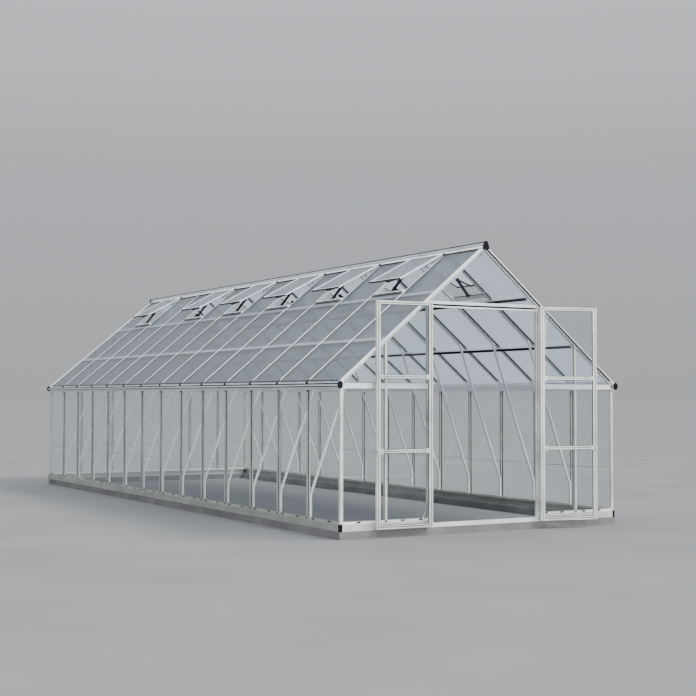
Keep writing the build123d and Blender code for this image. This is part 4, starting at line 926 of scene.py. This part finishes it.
def apex_seams():
    """Clear jointing strip down the middle of each gable's top sheets."""
    shape = bmesh.new()
    for face, away in GABLES:
        run_upright(shape, APEX_SEAM, 0, face - away * GABLE_SHEET_FACE, APEX_SEAM_HEIGHTS, OUT_Y * away)
    add_piece("apex_seams", shape, clear_joint)


apex_seams()

# Bolts and screws of the frame
BRACE_FACE_X = HALF_WIDTH - POST - BRACE_DEPTH
BRACE_FOOT_BOLTS = (SILL_TOP + 30 * MM, SILL_TOP + 150 * MM)
BRACE_HEAD_BOLTS = (BRACE_TOP + 25 * MM, BRACE_TOP + 130 * MM)
BASE_OVERHANG = 8 * MM
BASE_SCREW_HEIGHT = BASE_TOP - 20 * MM
GABLE_BASE_SCREWS = (GABLE_STUD_X, (GABLE_STUD_X + HALF_WIDTH) / 2)
GUSSET_SCREW_X = POST_OUTER_X + 4.5 * MM
GUSSET_SET_BACK = 10 * MM
GUSSET_SCREWS = (SILL_TOP + 15 * MM, SILL_TOP + 45 * MM)
POST_SCREW_X = POST_OUTER_X - 9 * MM
POST_SCREW_GAP = 110 * MM
POST_SCREW_COUNT = int((HEADER_BOTTOM - SILL_TOP) / POST_SCREW_GAP)
POST_SCREWS = [SILL_TOP + (k + 0.5) * POST_SCREW_GAP for k in range(POST_SCREW_COUNT)]


def frame_fixings():
    """Hex bolts at the braces' ends, and pan-head screws on the base rails, gussets and door posts."""
    bolts, screws = bmesh.new(), bmesh.new()
    for side in SIDES:
        for y in BAR_LINES[1:-1]:
            for z in BRACE_FOOT_BOLTS:
                hex_bolt(bolts, Vector((side * BRACE_FACE_X, y, z)), OUT_X * -side)
            for down in BRACE_HEAD_BOLTS:
                hex_bolt(bolts, slope_point(side, down, RAFTER_BACK - BRACE_DEPTH, y), -slope_out(side))
            rail_face = Vector((side * (HALF_WIDTH + BASE_OVERHANG), y, BASE_SCREW_HEIGHT))
            pan_screw(screws, rail_face, OUT_X * side)
        for face, away in GABLES:
            for x in GABLE_BASE_SCREWS:
                rail_face = Vector((side * x, face + away * BASE_OVERHANG, BASE_SCREW_HEIGHT))
                pan_screw(screws, rail_face, OUT_Y * away)
        for z in GUSSET_SCREWS:
            pan_screw(screws, Vector((side * GUSSET_SCREW_X, FRONT_Y + GUSSET_SET_BACK, z)), -OUT_Y)
        for z in POST_SCREWS:
            pan_screw(screws, Vector((side * POST_SCREW_X, FRONT_Y, z)), -OUT_Y)
    add_piece("frame_bolts", bolts, bolt_steel)
    add_piece("frame_screws", screws, bolt_steel)


frame_fixings()

# Door leaves: the side and the body of each, and their hinge lines from the record
LEAVES = ((-1, "left_door"), (1, "right_door"))
HINGES = {joint["child"]: Vector(joint["pos_m"]) for joint in frame["record"]["behaviour"]["joints"]}


def leaf_point(body, side, along, out, z):
    """Point on a door leaf at rest, along from its hinge line and out from it."""
    turn, hinge = LEAF_SWING[body], HINGES[body]
    x = along * math.cos(turn) - out * math.sin(turn)
    y = along * math.sin(turn) + out * math.cos(turn)
    return Vector((hinge.x + side * x, hinge.y - y, z))


def leaf_out(body, side):
    """Direction out of a door leaf's front at rest."""
    return leaf_point(body, side, 0, 1, 0) - leaf_point(body, side, 0, 0, 0)


def run_on_leaf(shape, body, side, outline, out, start, end):
    """Runs an outline over a leaf from one (along, height) point to another."""
    places = [leaf_point(body, side, along, out, z) for along, z in (start, end)]
    run_outline(shape, outline, *places, leaf_out(body, side))


# Leaf seals
LEAF_GROOVE_SEAL = strip(wide=4.6, high=2.5, edge=0.6)
LEAF_GROOVE_FLOOR = LEAF_BACK + LEAF_THICKNESS - LEAF_GROOVE_DEPTH
LEAF_GROOVE_OVERRUN = 2 * MM
LEAF_GROOVE_INSET = 3 * MM
PANE_SEAL = strip(wide=4, high=3)
PANE_SEAL_INSET = 2 * MM
PANE_FACE = LEAF_BACK + (LEAF_THICKNESS + CLEAR_SHEET) / 2
PANE_LOWS = (LEAF_BOTTOM + LEAF_RAIL, LEAF_MID_RAIL + LEAF_RAIL / 2, LEAF_TRANSOM + LEAF_RAIL / 2)
PANE_HIGHS = (LEAF_MID_RAIL - LEAF_RAIL / 2, LEAF_TRANSOM - LEAF_RAIL / 2, LEAF_TOP - LEAF_RAIL)
PANE_START, PANE_END = LEAF_GAP + LEAF_STILE, LEAF_REACH - LEAF_STILE


def leaf_seals():
    """Black seals in a leaf's grooves and round its panes, each between two (along, height) points."""
    left, right = LEAF_GAP + LEAF_GROOVE_EDGE, LEAF_REACH - LEAF_GROOVE_EDGE
    bottom, top = LEAF_BOTTOM + LEAF_GROOVE_EDGE, LEAF_TOP - LEAF_GROOVE_EDGE
    grooves = [((along, bottom - LEAF_GROOVE_OVERRUN), (along, top + LEAF_GROOVE_OVERRUN))
               for along in (left, right)]
    grooves += [((left + LEAF_GROOVE_INSET, z), (right - LEAF_GROOVE_INSET, z)) for z in (bottom, top)]
    grooves += [((PANE_START + SEAL_END, z), (PANE_END - SEAL_END, z)) for z in (LEAF_MID_RAIL, LEAF_TRANSOM)]
    panes = []
    for low, high in zip(PANE_LOWS, PANE_HIGHS):
        panes += [((along, low), (along, high))
                  for along in (PANE_START + PANE_SEAL_INSET, PANE_END - PANE_SEAL_INSET)]
        panes += [((PANE_START + 2 * PANE_SEAL_INSET, z), (PANE_END - 2 * PANE_SEAL_INSET, z))
                  for z in (low + PANE_SEAL_INSET, high - PANE_SEAL_INSET)]
    for side, body in LEAVES:
        shape = bmesh.new()
        for start, end in grooves:
            run_on_leaf(shape, body, side, LEAF_GROOVE_SEAL, LEAF_GROOVE_FLOOR, start, end)
        for start, end in panes:
            run_on_leaf(shape, body, side, PANE_SEAL, PANE_FACE, start, end)
        add_piece(body + "_seals", shape, rubber, body)


leaf_seals()

# Leaf screws
LEAF_FRONT = LEAF_BACK + LEAF_THICKNESS
RAIL_PLATE_THICKNESS = 2 * MM
RAIL_PLATE_SCREWS = (44 * MM, 66 * MM, 542 * MM, 564 * MM)
LATCH_MIDDLE = LEAF_REACH - 11 * MM
LATCH_THICKNESS = 6 * MM
LATCH_SCREW_REACH = 23 * MM
STILE_MIDDLES = (LEAF_GAP + LEAF_STILE / 2, LEAF_REACH - LEAF_STILE / 2)
CORNER_SCREW_INSET = 7 * MM


def leaf_fixings():
    """Screws through a leaf's rail plates, its latch plate and its corners."""
    for side, body in LEAVES:
        shape = bmesh.new()
        out = leaf_out(body, side)
        for z in (LEAF_MID_RAIL, LEAF_TRANSOM):
            for along in RAIL_PLATE_SCREWS:
                pan_screw(shape, leaf_point(body, side, along, LEAF_FRONT + RAIL_PLATE_THICKNESS, z), out)
        for z in (LEAF_MID_RAIL - LATCH_SCREW_REACH, LEAF_MID_RAIL + LATCH_SCREW_REACH):
            pan_screw(shape, leaf_point(body, side, LATCH_MIDDLE, LEAF_FRONT + LATCH_THICKNESS, z), out)
        for along in STILE_MIDDLES:
            for z in (LEAF_BOTTOM + CORNER_SCREW_INSET, LEAF_TOP - CORNER_SCREW_INSET):
                pan_screw(shape, leaf_point(body, side, along, LEAF_FRONT, z), out)
        add_piece(body + "_screws", shape, bolt_steel, body)


leaf_fixings()

# Studio: pale floor wide enough to meet the horizon, a sky brighter overhead, a soft key light and a softbox
FLOOR_HALF = 400.0
KEY_FROM = Vector((0.55, -0.45, 0.7))
SOFTBOX_PLACE = Vector((-1.0, MIDDLE_Y - 21.0, 5.0))
SKY_STOPS = [(0.0, "#616365"), (0.15, "#66686b"), (0.45, "#85888c"), (0.75, "#d9dce0"), (1.0, "#fbfdff")]


def build_floor():
    """Pale matt floor."""
    shape = bmesh.new()
    corners = ((-1, -1), (1, -1), (1, 1), (-1, 1))
    shape.faces.new([shape.verts.new((x * FLOOR_HALF, y * FLOOR_HALF, 0)) for x, y in corners])
    mesh = bpy.data.meshes.new("studio_floor")
    shape.to_mesh(mesh)
    shape.free()
    paint, where = new_material("matt_floor_paint")
    clouds = add_node(paint, "ShaderNodeTexNoise", {"Scale": 1 / (1250 * MM), "Detail": 3.0},
                      {"Vector": where})
    colour = add_node(paint, "ShaderNodeValToRGB", {"stops": [(0.3, "#68696a"), (0.7, "#6e6f70")]},
                      {"Fac": clouds.outputs["Fac"]})
    shader = add_node(paint, "ShaderNodeBsdfDiffuse", {}, {"Color": colour.outputs["Color"]})
    add_node(paint, "ShaderNodeOutputMaterial", {}, {"Surface": shader.outputs["BSDF"]})
    mesh.materials.append(paint)
    floor = bpy.data.objects.new("studio_floor", mesh)
    bpy.context.scene.collection.objects.link(floor)


def light_studio():
    """Soft sky from a grey horizon to a bright overhead, the key light and the softbox."""
    world = bpy.data.worlds.new("studio")
    world.use_nodes = True
    world.node_tree.nodes.clear()
    where = add_node(world, "ShaderNodeTexCoord", {}).outputs["Generated"]
    height = add_node(world, "ShaderNodeSeparateXYZ", {}, {0: where})
    sky = add_node(world, "ShaderNodeValToRGB", {"stops": SKY_STOPS}, {"Fac": height.outputs["Z"]})
    light = add_node(world, "ShaderNodeBackground", {"Strength": 3.8}, {"Color": sky.outputs["Color"]})
    add_node(world, "ShaderNodeOutputWorld", {}, {"Surface": light.outputs["Background"]})
    bpy.context.scene.world = world
    sun = bpy.data.lights.new("key", "SUN")
    sun.energy = 4.5
    sun.angle = math.radians(25)
    key = bpy.data.objects.new("key", sun)
    key.rotation_euler = KEY_FROM.to_track_quat("Z", "Y").to_euler()
    bpy.context.scene.collection.objects.link(key)
    panel = bpy.data.lights.new("front_softbox", "AREA")
    panel.shape = "RECTANGLE"
    panel.size, panel.size_y = 12.0, 7.0
    panel.energy = 2000.0
    softbox = bpy.data.objects.new("front_softbox", panel)
    softbox.location = SOFTBOX_PLACE
    aim = SOFTBOX_PLACE - Vector((0, MIDDLE_Y, EAVE_HEIGHT))
    softbox.rotation_euler = aim.to_track_quat("Z", "Y").to_euler()
    bpy.context.scene.collection.objects.link(softbox)


build_floor()
light_studio()

# Camera: place and angles fitted to the photograph, with its focal length in pixels of a 696-pixel picture
IMAGE_PIXELS = 696
FOCAL_PIXELS = 1332.6
SENSOR = 36.0
VIEW_DISTANCE = 1000.0
CAMERA_PLACE = Vector((-7.2231, MIDDLE_Y - 14.4973, 1.254))
CAMERA_YAW, CAMERA_PITCH, CAMERA_ROLL = (math.radians(angle) for angle in (29.4113, 2.0843, -0.079))
camera_data = bpy.data.cameras.new("view")
camera_data.sensor_width = SENSOR
camera_data.lens = FOCAL_PIXELS / IMAGE_PIXELS * SENSOR
camera_data.clip_end = VIEW_DISTANCE
camera = bpy.data.objects.new("view", camera_data)
turn = (Matrix.Rotation(-CAMERA_YAW, 4, "Z") @ Matrix.Rotation(math.pi / 2 + CAMERA_PITCH, 4, "X")
        @ Matrix.Rotation(-CAMERA_ROLL, 4, "Z"))
camera.matrix_world = Matrix.Translation(CAMERA_PLACE) @ turn
bpy.context.scene.collection.objects.link(camera)
bpy.context.scene.camera = camera
